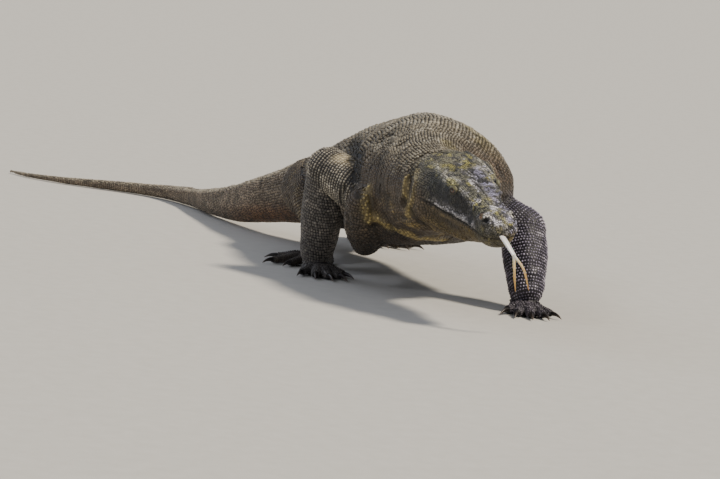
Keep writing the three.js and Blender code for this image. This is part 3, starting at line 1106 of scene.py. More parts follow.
        # Painted highlight along the crests and the head's rim, on tops and ground.
        crest_highlight = np.clip(1.2 * self.flesh.crest_highlight(survey.points), 0, 0.85)
        tops = mix(tops, "#a89f84", crest_highlight)
        return mix(ground, "#5c543f", crest_highlight * 0.6), tops

    def leg(self, form: Form, survey: Survey) -> tuple[Array, Array]:
        """Cream bands on the right upper arm, partly painted light; lilac dots on the left one, painted
        wet highlights; dark feet.

        Args:
            form: a form of the leg.
            survey: the points.

        Returns:
            Ground and tops.
        """
        points = survey.points
        name = form.leg.name
        banded = name == "front_right" and form.part is Part.UPPER
        key = name + "_upper" if banded else name
        low, high, ground = self.LIMBS.get(key) or self.LIMBS[name.split("_")[0]]
        tops = mix(low, high, smooth(noise(points, 12, 41), 0, 0.8))
        ground = np.tile(linear(ground), (len(points), 1))
        if banded:
            tops = mix(tops, "#5e554b", smooth(noise(points, 34, 42), 0.1, 0.7) * 0.5)
            # Painted highlight: a pale patch on top of the right upper arm, on tops and ground.
            top = arm_top(points)
            tops = mix(tops, "#c2b596", top * 0.9)
            ground = mix(ground, "#ad9c77", top * 0.92)
        elif name == "front_left":
            tops = mix(tops, "#5b5160", smooth(points[:, 2], 80, 20) * 0.7)
        if form.part in (Part.FOOT, Part.TOE):
            tops = mix(tops, "#3f3a38", np.full(len(points), 0.6))
        return ground, tops


# ---- Meshes ----------------------------------------------------------------------------


class Placing:
    """Turns the animal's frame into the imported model's: a shift, and mm to metres."""

    def __init__(self) -> None:
        """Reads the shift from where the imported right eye's middle is."""
        low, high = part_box("eye_right")
        middle = np.array((low + high) / 2) * MM
        self.shift = middle - SKULL.outside(np.array(EYE_AT) * [-1, 1, 1])

    def metres(self, points: Array) -> Array:
        """Points of the animal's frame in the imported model's."""
        return (points + self.shift) / MM


@dataclass(frozen=True)
class Animal:
    """What every piece is made from: the flesh, its colours and where the model is."""

    flesh: Flesh
    markings: Markings
    placing: Placing


def write_mesh(name: str, points: Array, sizes: Array, loops: Array) -> bpy.types.Object:
    """Makes an object of a mesh from whole arrays.

    Args:
        name: the piece's name.
        points: vertices, in metres on a finished piece.
        sizes: the number of corners of each face.
        loops: the corners' vertex numbers, face by face.

    Returns:
        The object, in the scene, smooth shaded.
    """
    mesh = bpy.data.meshes.new(name)
    mesh.vertices.add(len(points))
    mesh.vertices.foreach_set("co", np.ascontiguousarray(points, np.float32).ravel())
    mesh.loops.add(len(loops))
    mesh.loops.foreach_set("vertex_index", np.ascontiguousarray(loops, np.int32))
    mesh.polygons.add(len(sizes))
    starts = np.r_[0, np.cumsum(sizes)[:-1]].astype(np.int32)
    mesh.polygons.foreach_set("loop_start", starts)
    mesh.update(calc_edges=True)
    mesh.shade_smooth()
    thing = bpy.data.objects.new(name, mesh)
    bpy.context.scene.collection.objects.link(thing)
    return thing


def around(along: Array, sides: int) -> tuple[Array, Array]:
    """Parameters of a tube's points, ring by ring.

    Args:
        along: one value for each ring.
        sides: the number of points in a ring.

    Returns:
        The ring's value and the angle in radians, for each point.
    """
    turns = np.arange(sides) * 2 * np.pi / sides
    rings, angles = np.meshgrid(along, turns, indexing="ij")
    return rings.ravel(), angles.ravel()


def tube_faces(rings: int, sides: int) -> tuple[Array, Array]:
    """Faces of a closed tube of equal rings with a flat cap at each end.

    Args:
        rings: the number of rings.
        sides: the number of points in each.

    Returns:
        Corner counts and vertex numbers, facing outwards for rings that run from the
        first to the last with their points turning from left to up.
    """
    i, j = np.meshgrid(np.arange(rings - 1), np.arange(sides), indexing="ij")
    k = (j + 1) % sides
    quads = np.stack([i * sides + j, (i + 1) * sides + j, (i + 1) * sides + k, i * sides + k], -1)
    first = np.arange(sides)
    last = (rings - 1) * sides + np.arange(sides)[::-1]
    sizes = np.r_[np.full(quads.shape[0] * quads.shape[1], 4), sides, sides]
    return sizes, np.r_[quads.ravel(), first, last]


def colour_vertices(thing: bpy.types.Object, name: str, colours: Array) -> None:
    """Stores one linear colour for each vertex as an attribute.

    Args:
        thing: the piece.
        name: the attribute's name.
        colours: the colours, one a row.
    """
    layer = thing.data.attributes.new(name, "FLOAT_COLOR", "POINT")
    full = np.column_stack([colours, np.ones(len(colours))]).astype(np.float32)
    layer.data.foreach_set("color", full.ravel())


@dataclass(frozen=True)
class Hide:
    """The one skin over all the flesh, made from the forms and drawn onto their level."""

    # Finer regions of the skull's frame: where y is below, z above and |x| below these,
    # then the step and evenness that the new vertices settle with.
    FINER = ((110, -260, 150, 2.0, 0.4), (-40, -112, 90, 1.5, 0.3))

    animal: Animal
    voxel: float = 6.8  # mm between vertices of the plain hide
    rough_depth: float = 2.0  # mm from the forms in to the first tubes
    seen: float = 0.2  # how much of the scales' colour the skin shows
    seen_on_arms: float = 0.06
    eye_reach: float = 17.0  # mm round eye and nostril that are finest
    nose_reach: float = 11.0

    def rough(self) -> bpy.types.Object:
        """All forms as closed tubes in one mesh, in millimetres of the animal's frame.

        Returns:
            The object; its tubes still cross each other.
        """
        points, sizes, loops, start = [], [], [], 0
        for form in self.animal.flesh.forms:
            rings, sides = (90, 48) if form.part is Part.BODY else (28, 32)
            last = len(form.loft.table) - 1
            place, angle = np.meshgrid(
                np.linspace(0, last, rings), np.arange(sides) * 360 / sides, indexing="ij"
            )
            grid = form.loft.surface(place, angle, -self.rough_depth).reshape(-1, 3)
            size, loop = tube_faces(rings, sides)
            points.append(grid)
            sizes.append(size)
            loops.append(loop + start)
            start += len(grid)
        return write_mesh("hide", np.vstack(points), np.concatenate(sizes), np.concatenate(loops))

    def remesh(self, thing: bpy.types.Object) -> None:
        """Merges the tubes into one even skin of quads.

        Args:
            thing: the object of tubes, which gets the skin as its mesh.
        """
        tool = thing.modifiers.new("merge", "REMESH")
        tool.mode = "VOXEL"
        tool.voxel_size = self.voxel
        tool.use_smooth_shade = True
        graph = bpy.context.evaluated_depsgraph_get()
        mesh = bpy.data.meshes.new_from_object(thing.evaluated_get(graph))
        thing.modifiers.clear()
        old = thing.data
        thing.data = mesh
        bpy.data.meshes.remove(old)

    @staticmethod
    def read(mesh: bpy.types.Mesh) -> Array:
        """The mesh's vertices as an array.

        Args:
            mesh: the mesh.

        Returns:
            The vertices, one a row.
        """
        points = np.empty(len(mesh.vertices) * 3, np.float32)
        mesh.vertices.foreach_get("co", points)
        return points.reshape(-1, 3).astype(float)

    @staticmethod
    def put(mesh: bpy.types.Mesh, points: Array) -> None:
        """Moves the mesh's vertices."""
        mesh.vertices.foreach_set("co", points.astype(np.float32).ravel())
        mesh.update()

    def settle(self, mesh: bpy.types.Mesh, rounds: int, step: float, even: float) -> None:
        """Draws the vertices onto the level, and evens out their spacing along it.

        Each round moves a vertex along its normal by its level, at most a step, then
        towards its neighbours' mean within the tangent plane.

        Args:
            mesh: the skin, in millimetres.
            rounds: how often.
            step: the longest move of one round.
            even: the share of the way to the neighbours' mean.
        """
        edges = np.empty(len(mesh.edges) * 2, np.int32)
        mesh.edges.foreach_get("vertices", edges)
        edges = edges.reshape(-1, 2)
        ends = np.concatenate([edges, edges[:, ::-1]])
        count = np.bincount(ends[:, 0], minlength=len(mesh.vertices))[:, None]
        for _ in range(rounds):
            points = self.read(mesh)
            normal = np.empty(len(points) * 3, np.float32)
            mesh.vertex_normals.foreach_get("vector", normal)
            normal = normal.reshape(-1, 3).astype(float)
            level = self.animal.flesh.survey(points).level
            points -= normal * np.clip(EASE * level, -step, step)[:, None]
            if even:
                total = np.column_stack(
                    [np.bincount(ends[:, 0], points[ends[:, 1], k], len(points)) for k in range(3)]
                )
                pull = total / np.maximum(count, 1) - points
                pull -= normal * np.sum(pull * normal, axis=1)[:, None]
                points += even * pull
            self.put(mesh, points)

    def refine(self, mesh: bpy.types.Mesh, wanted: Array) -> None:
        """Splits the edges whose both ends are wanted, and the faces between them.

        Args:
            mesh: the skin.
            wanted: true for each vertex of the region.
        """
        build = bmesh.new()
        build.from_mesh(mesh)
        build.verts.ensure_lookup_table()
        flags = wanted.tolist()
        edges = [e for e in build.edges if flags[e.verts[0].index] and flags[e.verts[1].index]]
        bmesh.ops.subdivide_edges(build, edges=edges, cuts=1, use_grid_fill=True)
        bmesh.ops.triangulate(build, faces=[f for f in build.faces if len(f.verts) > 4])
        build.to_mesh(mesh)
        build.free()
        mesh.update()

    def build(self) -> None:
        """Makes and dresses the skin, finer on the head, and finest round eye and nose."""
        thing = self.rough()
        self.remesh(thing)
        mesh = thing.data
        LOG.info("rough skin: %d faces", len(mesh.polygons))
        self.settle(mesh, 4, 4.0, 0.5)
        for front, low, wide, step, even in self.FINER:
            half, back, high = to_left(SKULL.inside(self.read(mesh))).T
            self.refine(mesh, (back < front) & (high > low) & (half < wide))
            self.settle(mesh, 2, step, even)
        skull = to_left(SKULL.inside(self.read(mesh)))
        eye, nose = (np.linalg.norm(skull - middle, axis=1) for middle in (EYE_AT, NOSTRIL_AT))
        self.refine(mesh, (eye < self.eye_reach) | (nose < self.nose_reach))
        self.settle(mesh, 4, 1.0, 0.15)
        points = self.read(mesh)
        survey = self.animal.flesh.survey(points)
        ground, tops = self.animal.markings.colours(survey)
        forms = self.animal.flesh.forms
        arms = np.array([f.leg is not None and f.name.startswith("front") for f in forms])
        seen = np.where(arms[survey.owner], self.seen_on_arms, self.seen)
        colour_vertices(thing, "colour", mix(ground, tops, seen))
        self.put(mesh, self.animal.placing.metres(points))
        mesh.shade_smooth()
        dress(thing, HideFinish().build())
        fleshy = ["head", "lower_jaw", "neck", "chest", "belly", "hips"]
        fleshy += ["tail_base", "tail_middle", "tail_end", "pectoral_fold"]
        fleshy += [f"{leg.name}_{part}" for leg in LEGS for part in ("upper", "lower", "foot")]
        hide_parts(*fleshy)
        LOG.info("hide: %d faces", len(mesh.polygons))


# ---- Scales ----------------------------------------------------------------------------


@dataclass(frozen=True)
class ScaleShape:
    """One scale: a dome of six or seven sides that leans back, its edge in the skin.

    A ring at the edge, a ring on the shoulder, and a top point set back along the body.
    """

    sides: int = 7
    shoulder: float = 0.74
    shoulder_height: float = 0.72
    sunk: float = 0.55
    set_back: float = 0.12
    edge_tone: float = 0.12  # how much of its top's colour the edge has
    shoulder_tone: float = 0.7

    def points(self) -> Array:
        """The dome's points for half-sizes and height of 1.

        Returns:
            The sunk edge, the shoulder and the top, one point a row.
        """
        turn = np.arange(self.sides) * 2 * np.pi / self.sides
        ring = np.column_stack([np.cos(turn), np.sin(turn), np.zeros(self.sides)])
        edge = ring - [0, 0, self.sunk]
        shoulder = ring * [self.shoulder, self.shoulder, 0]
        shoulder += [0, 0.5 * self.set_back, self.shoulder_height]
        top = np.array([[0, self.set_back, 1.0]])
        return np.vstack([edge, shoulder, top])

    def faces(self) -> tuple[Array, Array]:
        """Corner counts and vertex numbers, closed below by one flat face.

        Returns:
            The counts, and the numbers face by face.
        """
        j = np.arange(self.sides)
        k = (j + 1) % self.sides
        walls = np.column_stack([j, k, k + self.sides, j + self.sides])
        top = np.full(self.sides, 2 * self.sides)
        caps = np.column_stack([j + self.sides, k + self.sides, top])
        sizes = np.r_[np.full(self.sides, 4), np.full(self.sides, 3), self.sides]
        return sizes, np.r_[walls.ravel(), caps.ravel(), j[::-1]]


@dataclass
class Roots:
    """Where scales grow: places, directions, sizes and their spots on the unwrap."""

    points: Array
    normal: Array
    along: Array
    half: Array  # half-width across the body, half-length along it, and height
    spot: Array  # place on the piece's unwrap, from 0 to 1 both ways


@dataclass(frozen=True)
class Rows:
    """Rows of scales round one form, from one place to another."""

    form: str
    start: float
    stop: float
    pitch: float  # along the form, mm
    width: float  # round it, mm
    tile: tuple[float, float, float, float] = (0.0, 0.0, 1.0, 1.0)
    loose: float = 1.0  # how far scales stray from their rows
    caps: tuple[int, ...] = ()  # blunt ends with scales too: 0 the first, -1 the last


@dataclass(frozen=True)
class Coat:
    """All the scales, row by row, in pieces by region."""

    TALL = {Part.HEAD: 0.62, Part.FOLD: 1.3, Part.UPPER: 2.2, Part.LOWER: 1.7}  # mm

    animal: Animal
    bead: ScaleShape = ScaleShape()
    plate: ScaleShape = ScaleShape(sides=6, shoulder=0.84, shoulder_height=0.82, set_back=0.05)
    patch: float = 0.0015  # half a scale's patch on the unwrap
    start: float = 3.0  # mm inside a form, where a root's way to the skin starts
    moves: int = 5  # of each root onto the skin
    stride: float = 8.0  # mm, the longest of them
    slack: float = 1.6  # mm, how far from the skin a root may be left
    lowest: float = 3.0  # mm over the floor; none grow on the soles
    tall: float = 1.0  # mm, the height of scales on feet

    def lattice(self, rows: Rows, loft: Loft, seed: int) -> tuple[Array, Array]:
        """Places and angles of the scales: rows at even steps along, scales at even
        steps of arc round each row, every other row shifted by half a scale.

        Args:
            rows: what to fill.
            loft: the form's loft.
            seed: for the small irregularities.

        Returns:
            Places and angles, one pair for each scale.
        """
        fine = np.linspace(rows.start, rows.stop, 500)
        lines = loft.surface(*np.meshgrid(fine, [0.0, 90.0, 180.0, 270.0], indexing="ij"))
        steps = np.linalg.norm(np.diff(lines, axis=0), axis=2).mean(axis=1)
        length = np.r_[0, np.cumsum(steps)]
        count = max(int(round(length[-1] / rows.pitch)), 2)
        at = (np.arange(count) + 0.5) * length[-1] / count
        place = np.interp(at, length, fine)
        turns = np.linspace(0, 360, 145)
        grid = np.meshgrid(place, turns, indexing="ij")
        ring = loft.surface(*grid)
        arc = np.cumsum(np.linalg.norm(np.diff(ring, axis=1), axis=2), axis=1)
        arc = np.column_stack([np.zeros(count), arc])
        number = np.maximum(np.round(arc[:, -1] / rows.width), 6).astype(int)
        row = np.repeat(np.arange(count), number)
        first = np.repeat(np.cumsum(number) - number, number)
        index = np.arange(len(row)) - first
        share = (index + 0.25 + 0.5 * (row % 2)) / number[row]
        rng = np.random.default_rng(seed)
        share = share + rng.normal(0, 0.11 * rows.loose, len(row)) / number[row]
        whole = (arc / arc[:, -1:] + np.arange(count)[:, None] * 2).ravel()
        angle = np.interp((share % 1) + row * 2, whole, np.tile(turns, count))
        spread = rng.normal(0, 0.09 * rows.loose, len(row)) * (place[1] - place[0])
        return place[row] + spread, angle

    @staticmethod
    def cap(rows: Rows, loft: Loft, end: int) -> tuple[Array, ...]:
        """Scales in rings over a blunt end of a form.

        Args:
            rows: the rows that they complete.
            loft: the form's loft.
            end: 0 for its first end, -1 for its last.

        Returns:
            Places, angles, points, directions up and directions out.
        """
        radii = np.arange(0.55, loft.table[end, 3] / rows.pitch + 0.4) * rows.pitch
        number = np.maximum(np.round(2 * np.pi * radii / rows.width), 3).astype(int)
        ring = np.repeat(np.arange(len(radii)), number)
        index = np.arange(len(ring)) - np.repeat(np.cumsum(number) - number, number)
        turn = 2 * np.pi * (index + 0.5 * (ring % 2)) / number[ring]
        left, up, along = (axis[end] for axis in (loft.left, loft.up, loft.along))
        spot = np.cos(turn)[:, None] * left + np.sin(turn)[:, None] * up
        spot = spot * radii[ring][:, None]
        turned = loft.frame.axes()
        points = loft.frame.outside(loft.centre[end] + spot)
        count = len(points)
        outward = -along if end == 0 else along
        ahead, out = np.tile(up @ turned.T, (count, 1)), np.tile(outward @ turned.T, (count, 1))
        inward = 0.3 * radii[ring] / radii[-1]
        place = rows.start + inward if end == 0 else rows.stop - inward
        return place, np.degrees(turn) % 360, points, ahead, out

    def grow(self, rows: Rows, seed: int) -> Roots:
        """Sets the rows' scales on the hide, where the form owns it.

        Args:
            rows: what to fill.
            seed: for the small irregularities.

        Returns:
            The roots of the scales that stand.
        """
        flesh = self.animal.flesh
        number = [form.name for form in flesh.forms].index(rows.form)
        loft = flesh.forms[number].loft
        place, angle = self.lattice(rows, loft, seed)
        points = loft.surface(place, angle, -self.start)
        further = np.minimum(place + 0.05, len(loft.table) - 1)
        ahead = loft.surface(further, angle, -self.start) - points
        out = unit(points - loft.surface(place, angle, -3 * self.start))
        for end in rows.caps:
            more = self.cap(rows, loft, end)
            place, angle = (np.r_[a, b] for a, b in zip((place, angle), more[:2]))
            points, ahead, out = (np.vstack(pair) for pair in zip((points, ahead, out), more[2:]))
        for _ in range(self.moves):
            level = flesh.survey(points).level
            points = points - out * np.clip(EASE * level, -self.stride, self.stride)[:, None]
        survey = flesh.survey(points)
        keep = (survey.owner == number) & (np.abs(survey.level) < self.slack)
        keep &= points[:, 2] > self.lowest
        keep &= self.allowed(points)
        points, place, angle, ahead = points[keep], place[keep], angle[keep], ahead[keep]
        normal = flesh.normals(points)
        along = unit(ahead - normal * np.sum(ahead * normal, axis=1)[:, None])
        keep = normal[:, 2] * (points[:, 2] < 8) > -0.7  # not where a sole faces down
        place = np.maximum(place, rows.start)
        half = self.sizes(rows, flesh.forms[number].part, points, place, angle, seed)
        low, high = np.array(rows.tile[:2]), np.array(rows.tile[2:])
        share = [(angle % 360) / 360, (place - rows.start) / (rows.stop - rows.start)]
        spot = low + (high - low) * (0.02 + 0.96 * np.column_stack(share))
        spot = np.clip(spot, 0.004, 0.996)
        return Roots(points[keep], normal[keep], along[keep], half[keep], spot[keep])

    @staticmethod
    def allowed(points: Array) -> Array:
        """Keeps scales off the eyes, nostrils and the line of the lips.

        Args:
            points: places in the animal's frame.

        Returns:
            True where a scale may stand.
        """
        local = to_left(SKULL.inside(points))
        eye, nose = (np.linalg.norm(local - middle, axis=1) for middle in (EYE_AT, NOSTRIL_AT))
        half, back, _ = local.T
        lips = (back < -34) & (back > -262) & (half < 110)
        slit = lips & (np.abs(over_lips(local)) < 2.2)
        return (eye > 11.8) & (nose > 7.4) & ~slit

    def sizes(
        self, rows: Rows, part: Part, points: Array, place: Array, angle: Array, seed: int
    ) -> Array:
        """Half-width, half-length and height of each scale.

        Args:
            rows: the rows that they stand in.
            part: the region that the rows are on.
            points: their roots.
            place: their places along the form.
            angle: their angles round it.
            seed: for the small irregularities.

        Returns:
            One row of three for each scale.
        """
        rng = np.random.default_rng(seed + 1)
        count = len(points)
        vary = 1 + 0.13 * rng.normal(0, 1, count).clip(-2, 2)
        high = np.sin(np.radians(angle))
        width = 0.5 * rows.width * 0.98 * vary
        length = 0.5 * rows.pitch * 0.98 * vary
        tall = np.full(count, self.TALL.get(part, self.tall))
        if part is Part.BODY:
            low_neck = smooth(place, 5.4, 4.4) * smooth(high, 0.75, 0.2)
            tall = (1.2 + 2.3 * smooth(high, -0.1, 0.75)) * (1 - 0.55 * low_neck)
            tall = tall * (1 - 0.5 * smooth(place, 13, 20))
        if rows.form.startswith("front_left") and part in (Part.UPPER, Part.LOWER):
            width, length = width * 0.72, length * 0.66
        if rows.form == "front_right_upper":
            smoother = arm_top(points)
            width, length = width * 1.02, length * (0.56 + 0.3 * smoother)
            tall = tall * (1 - 0.7 * smoother)
        if part is Part.HEAD:
            width, length = width * 1.2, length * 1.2
        tall = tall * (1 + 0.16 * rng.normal(0, 1, count).clip(-2, 2))
        return np.column_stack([width, length, tall])

    def mesh(self, name: str, roots: Roots) -> bpy.types.Object:
        """Joins the scales of one region into one piece.

        Each vertex is root + across * x * half-width + along * y * half-length
        + normal * z * height.

        Args:
            name: the piece's name.
            roots: where its scales stand.

        Returns:
            The piece, with its colours and its unwrap.
        """
        shape = self.plate if name == "scales_head" else self.bead
        dome = shape.points()
        across = np.cross(roots.along, roots.normal)
        half = roots.half
        points = (
            roots.points[:, None]
            + across[:, None] * (dome[None, :, 0, None] * half[:, 0, None, None])
            + roots.along[:, None] * (dome[None, :, 1, None] * half[:, 1, None, None])
            + roots.normal[:, None] * (dome[None, :, 2, None] * half[:, 2, None, None])
        )
        points[..., 2] = np.maximum(points[..., 2], FLOOR_GAP + 0.1)
        sizes, loops = shape.faces()
        count, corners = len(half), len(dome)
        all_loops = (loops[None] + np.arange(count)[:, None] * corners).ravel()
        points = self.animal.placing.metres(points.reshape(-1, 3))
        thing = write_mesh(name, points, np.tile(sizes, count), all_loops)
        spots = roots.spot[:, None] + dome[None, :, :2] * self.patch
        layer = thing.data.uv_layers.new(name="OFBake")
        layer.data.foreach_set("uv", spots.reshape(-1, 2)[all_loops].astype(np.float32).ravel())
        survey = self.animal.flesh.survey(roots.points)
        ground, tops = self.animal.markings.colours(survey)
        rng = np.random.default_rng(len(name))
        tops = tops * (1 + 0.22 * rng.normal(0, 1, count).clip(-2, 2))[:, None]
        share = np.repeat([shape.edge_tone, shape.shoulder_tone, 1.0], [shape.sides, shape.sides, 1])
        colours = ground[:, None] + (tops - ground)[:, None] * share[None, :, None]
        colour_vertices(thing, "colour", colours.reshape(-1, 3))
        return thing

    def regions(self) -> dict[str, list[Rows]]:
        """The coat's pieces and the rows that fill them.

        Returns:
            Each piece's name and its rows.
        """
        both = (0, -1)
        regions = {
            "scales_head": [Rows("head", 0.12, 9.8, 4.3, 4.3, loose=0.8, caps=(0,))],
            "scales_neck": [Rows("body", 0.2, 4.6, 6.6, 6.8, loose=0.6)],
            "scales_chest": [
                Rows("body", 4.6, 7.2, 8.2, 8.6, (0, 0, 1, 0.8), 0.6),
                Rows("pectoral_fold", 0.1, 6.9, 6.8, 7.0, (0, 0.8, 1, 1), caps=both),
            ],
            "scales_belly": [Rows("body", 7.2, 10.2, 8.6, 9.0, loose=0.6)],
            "scales_hips": [Rows("body", 10.2, 13.5, 8.2, 8.4, loose=0.6)],
            "scales_tail_base": [Rows("body", 13.5, 17.0, 6.4, 6.8)],
            "scales_tail_end": [Rows("body", 17.0, 23.95, 5.2, 5.0)],
        }
        for leg in LEGS:
            pitch, width = (9.2, 6.4) if leg.name == "front_right" else (7.4, 6.8)
            fine = [
                Rows(leg.name + "_upper", 0.05, 7.95, pitch, width, (0, 0, 0.5, 0.6), 0.25, both),
                Rows(leg.name + "_lower", 0.05, 7.95, 7.0, 6.6, (0.5, 0, 1, 0.6), 0.5, both),
                Rows(leg.name + "_foot", 0.1, 4.9, 5.6, 5.8, (0, 0.6, 0.5, 1)),
            ]
            for i in range(5):
                tile = (0.5 + 0.1 * i, 0.6, 0.6 + 0.1 * i, 1.0)
                fine.append(Rows(f"{leg.name}_toe_{i + 1}", 0.2, 2.95, 4.6, 5.4, tile))
            regions["scales_" + leg.name] = fine
        return regions

    def build(self, finish: bpy.types.Material) -> None:
        """Makes every piece of the coat and dresses it.

        Args:
            finish: the scales' material.
        """
        for seed, (name, rows) in enumerate(self.regions().items()):
            grown = [self.grow(each, 100 * seed + i) for i, each in enumerate(rows)]
            grown = [roots for roots in grown if len(roots.points)]
            names = ("points", "normal", "along", "half", "spot")
            joined = Roots(*[np.vstack([getattr(r, key) for r in grown]) for key in names])
            dress(self.mesh(name, joined), finish)
            LOG.info("%s: %d scales", name, len(joined.points))


# ---- Eyes, tongue and claws ------------------------------------------------------------


@dataclass(frozen=True)
class Eyes:
    """Eyeballs with a brown ring round a dark pupil, under a clear bulge."""

    placing: Placing
    rings: int = 48
    sides: int = 48
    bulge: float = 0.35  # mm that the cornea stands out
    play: float = 0.45  # mm from the socket's ball in to the eyeball

    def build(self, name: str, side: int, finish: bpy.types.Material) -> None:
        """One eyeball: a ball whose front swells where the cornea is.

        A point is centre + radius * (cos(t) out + sin(t) (cos(a) up + sin(a) back)). An
        attribute tells how far it is from the pupil.

        Args:
            name: "left" or "right".
            side: 1 for the left eye, -1 for the right.
            finish: the eyeball's material.
        """
        middle, out, back, up = eye_axes(side)
        t, a = around(np.linspace(0.02, math.pi - 0.02, self.rings), self.sides)
        t, a = t[:, None], a[:, None]
        radius = EYE_RADIUS - self.play + self.bulge * bell(t, 0, 0.42)
        ball = radius * (np.cos(t) * out + np.sin(t) * (np.cos(a) * up + np.sin(a) * back))
        points = self.placing.metres(SKULL.outside(ball + middle))
        thing = write_mesh("eyeball_" + name, points, *tube_faces(self.rings, self.sides))
        face_outwards(thing)
        layer = thing.data.attributes.new("from_pupil", "FLOAT", "POINT")
        layer.data.foreach_set("value", (t.ravel() * EYE_RADIUS).astype(np.float32))
        dress(thing, finish)
        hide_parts("eye_" + name)


def eye_axes(side: int) -> tuple[Array, ...]:
    """Where an eye is, the way it looks, and the ways along and up its opening.

    Args:
        side: 1 for the left eye, -1 for the right.

    Returns:
        The eyeball's middle and three directions, in the skull's frame.
    """
    out = unit(np.array([EYE_OUT]))[0] * [side, 1, 1]
    across = unit(np.cross(out, [[0.0, 0.0, 1.0]]))[0]
    return np.array(EYE_AT) * [side, 1, 1], out, across, np.cross(across, out)


@dataclass(frozen=True)
class Lids:
    """A ring of granular lids over each eyeball, open in an almond."""

    # Share of the way from the opening's edge, and height over the eyeball, mm.
    PROFILE = (
        (0.07, -1.2), (0.0, -0.3), (-0.02, 0.5), (0.03, 1.1), (0.12, 1.4),
        (0.3, 1.6), (0.6, 1.4), (0.8, 0.5), (1.0, -1.6),
    )

    placing: Placing
    sides: int = 168
    rows: int = 36
    beads: int = 28
    half: tuple[float, float] = (0.74, 0.5)  # the opening's half-angles, seen from the middle
    power: float = 1.7  # 2 would make the opening an ellipse, 1 a diamond
    outer: float = 1.5  # the outer edge, as an angle from the way the eye looks
    grain: float = 0.45  # mm that the beads stand out

    def build(self, name: str, side: int, finish: bpy.types.Material) -> None:
        """One eye's lids.

        A point is centre + radius * (cos(t) out + sin(t) (cos(a) across + sin(a) up)),
        with t from the almond's edge to the outer one, and beads where |cos(u) cos(v)| is
        high in rows u and beads v.

        Args:
            name: "left" or "right".
            side: 1 for the left eye, -1 for the right.
            finish: the lids' material.
        """
        middle, out, across, up = eye_axes(side)
        s, a = around(np.linspace(0, 1, self.rows), self.sides)
        profile = np.array(self.PROFILE)
        way = s * (len(profile) - 1)
        share, lift = (np.interp(way, np.arange(len(profile)), profile[:, k]) for k in (0, 1))
        wide, high = np.abs(np.cos(a) / self.half[0]), np.abs(np.sin(a) / self.half[1])
        edge = (wide**self.power + high**self.power) ** (-1 / self.power)  # the almond
        t = edge + (self.outer - edge) * share
        bead = np.abs(np.cos(np.pi * 5 * share) * np.cos(self.beads * a / 2)) ** 0.6
        outside = smooth(share, 0.04, 0.14) * (s > 0.25)
        radius = EYE_RADIUS + lift + self.grain * bead * outside
        flat = np.cos(a)[:, None] * across + np.sin(a)[:, None] * up
        skin = radius[:, None] * (np.cos(t)[:, None] * out + np.sin(t)[:, None] * flat)
        points = self.placing.metres(SKULL.outside(skin + middle))
        thing = write_mesh("lids_" + name, points, *tube_faces(self.rows, self.sides))
        face_outwards(thing)
        tone = mix("#3b382c", "#77724f", smooth(np.sin(a), -0.2, 0.7))
        tone = mix(tone * 0.45, tone, bead * outside)
        colour_vertices(thing, "colour", mix(tone, "#15120f", smooth(share, 0.1, 0.02)))
        dress(thing, finish)


def face_outwards(thing: bpy.types.Object) -> None:
    """Turns a closed mesh's faces outwards and shades them smooth.

    Args:
        thing: the piece.
    """
    build = bmesh.new()
    build.from_mesh(thing.data)
    bmesh.ops.recalc_face_normals(build, faces=build.faces)
    build.to_mesh(thing.data)
    build.free()
    thing.data.shade_smooth()


@dataclass(frozen=True)
class Tongue:
    """The forked tongue: a flat stem and two tines that droop and curl."""

    placing: Placing
    stem: Row = (7.2, 8.0, 6.0)  # half-widths, mm
    stem_tall: Row = (3.2, 3.4, 2.8)
    tine: Row = (3.7, 3.0, 0.7)
    flatness: float = 0.75  # a tine's height against its width

    def build(self) -> None:
        """Makes the tongue as three tubes joined into one piece, and dresses it."""
        parts = [self.tube("tongue_fork", TONGUE_STEM, self.stem, self.stem_tall)]
        tall = tuple(self.flatness * radius for radius in self.tine)
        parts += [self.tube("tine", tine, self.tine, tall) for tine in TONGUE_TINES]
        with bpy.context.temp_override(
            active_object=parts[0], selected_editable_objects=parts, object=parts[0]
        ):
            bpy.ops.object.join()
        layer = parts[0].data.attributes.new("down", "FLOAT", "POINT")
        points = Hide.read(parts[0].data) * MM - self.placing.shift
        layer.data.foreach_set("value", -SKULL.inside(points)[:, 2].astype(np.float32))
        dress(parts[0], TONGUE_FLESH.build())
        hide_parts("tongue")

    def tube(self, name: str, path: tuple[Row, ...], across: Row, tall: Row) -> bpy.types.Object:
        """A closed tube of elliptic rings carried along a curve.

        Args:
            name: the object's name.
            path: the points that the curve passes, in the skull's frame.
            across: half-widths at those points.
            tall: half-heights at those points.

        Returns:
            The object.
        """
        points = SKULL.outside(np.array(path, float))
        rows = [(*point, wide, high, high) for point, wide, high in zip(points, across, tall)]
        rings, sides = 12 * (len(rows) - 1) + 1, 20
        place, angle = around(np.linspace(0, len(rows) - 1, rings), sides)
        grid = self.placing.metres(Loft(rows, 2.0).surface(place, np.degrees(angle)))
        thing = write_mesh(name, grid, *tube_faces(rings, sides))
        face_outwards(thing)
        return thing


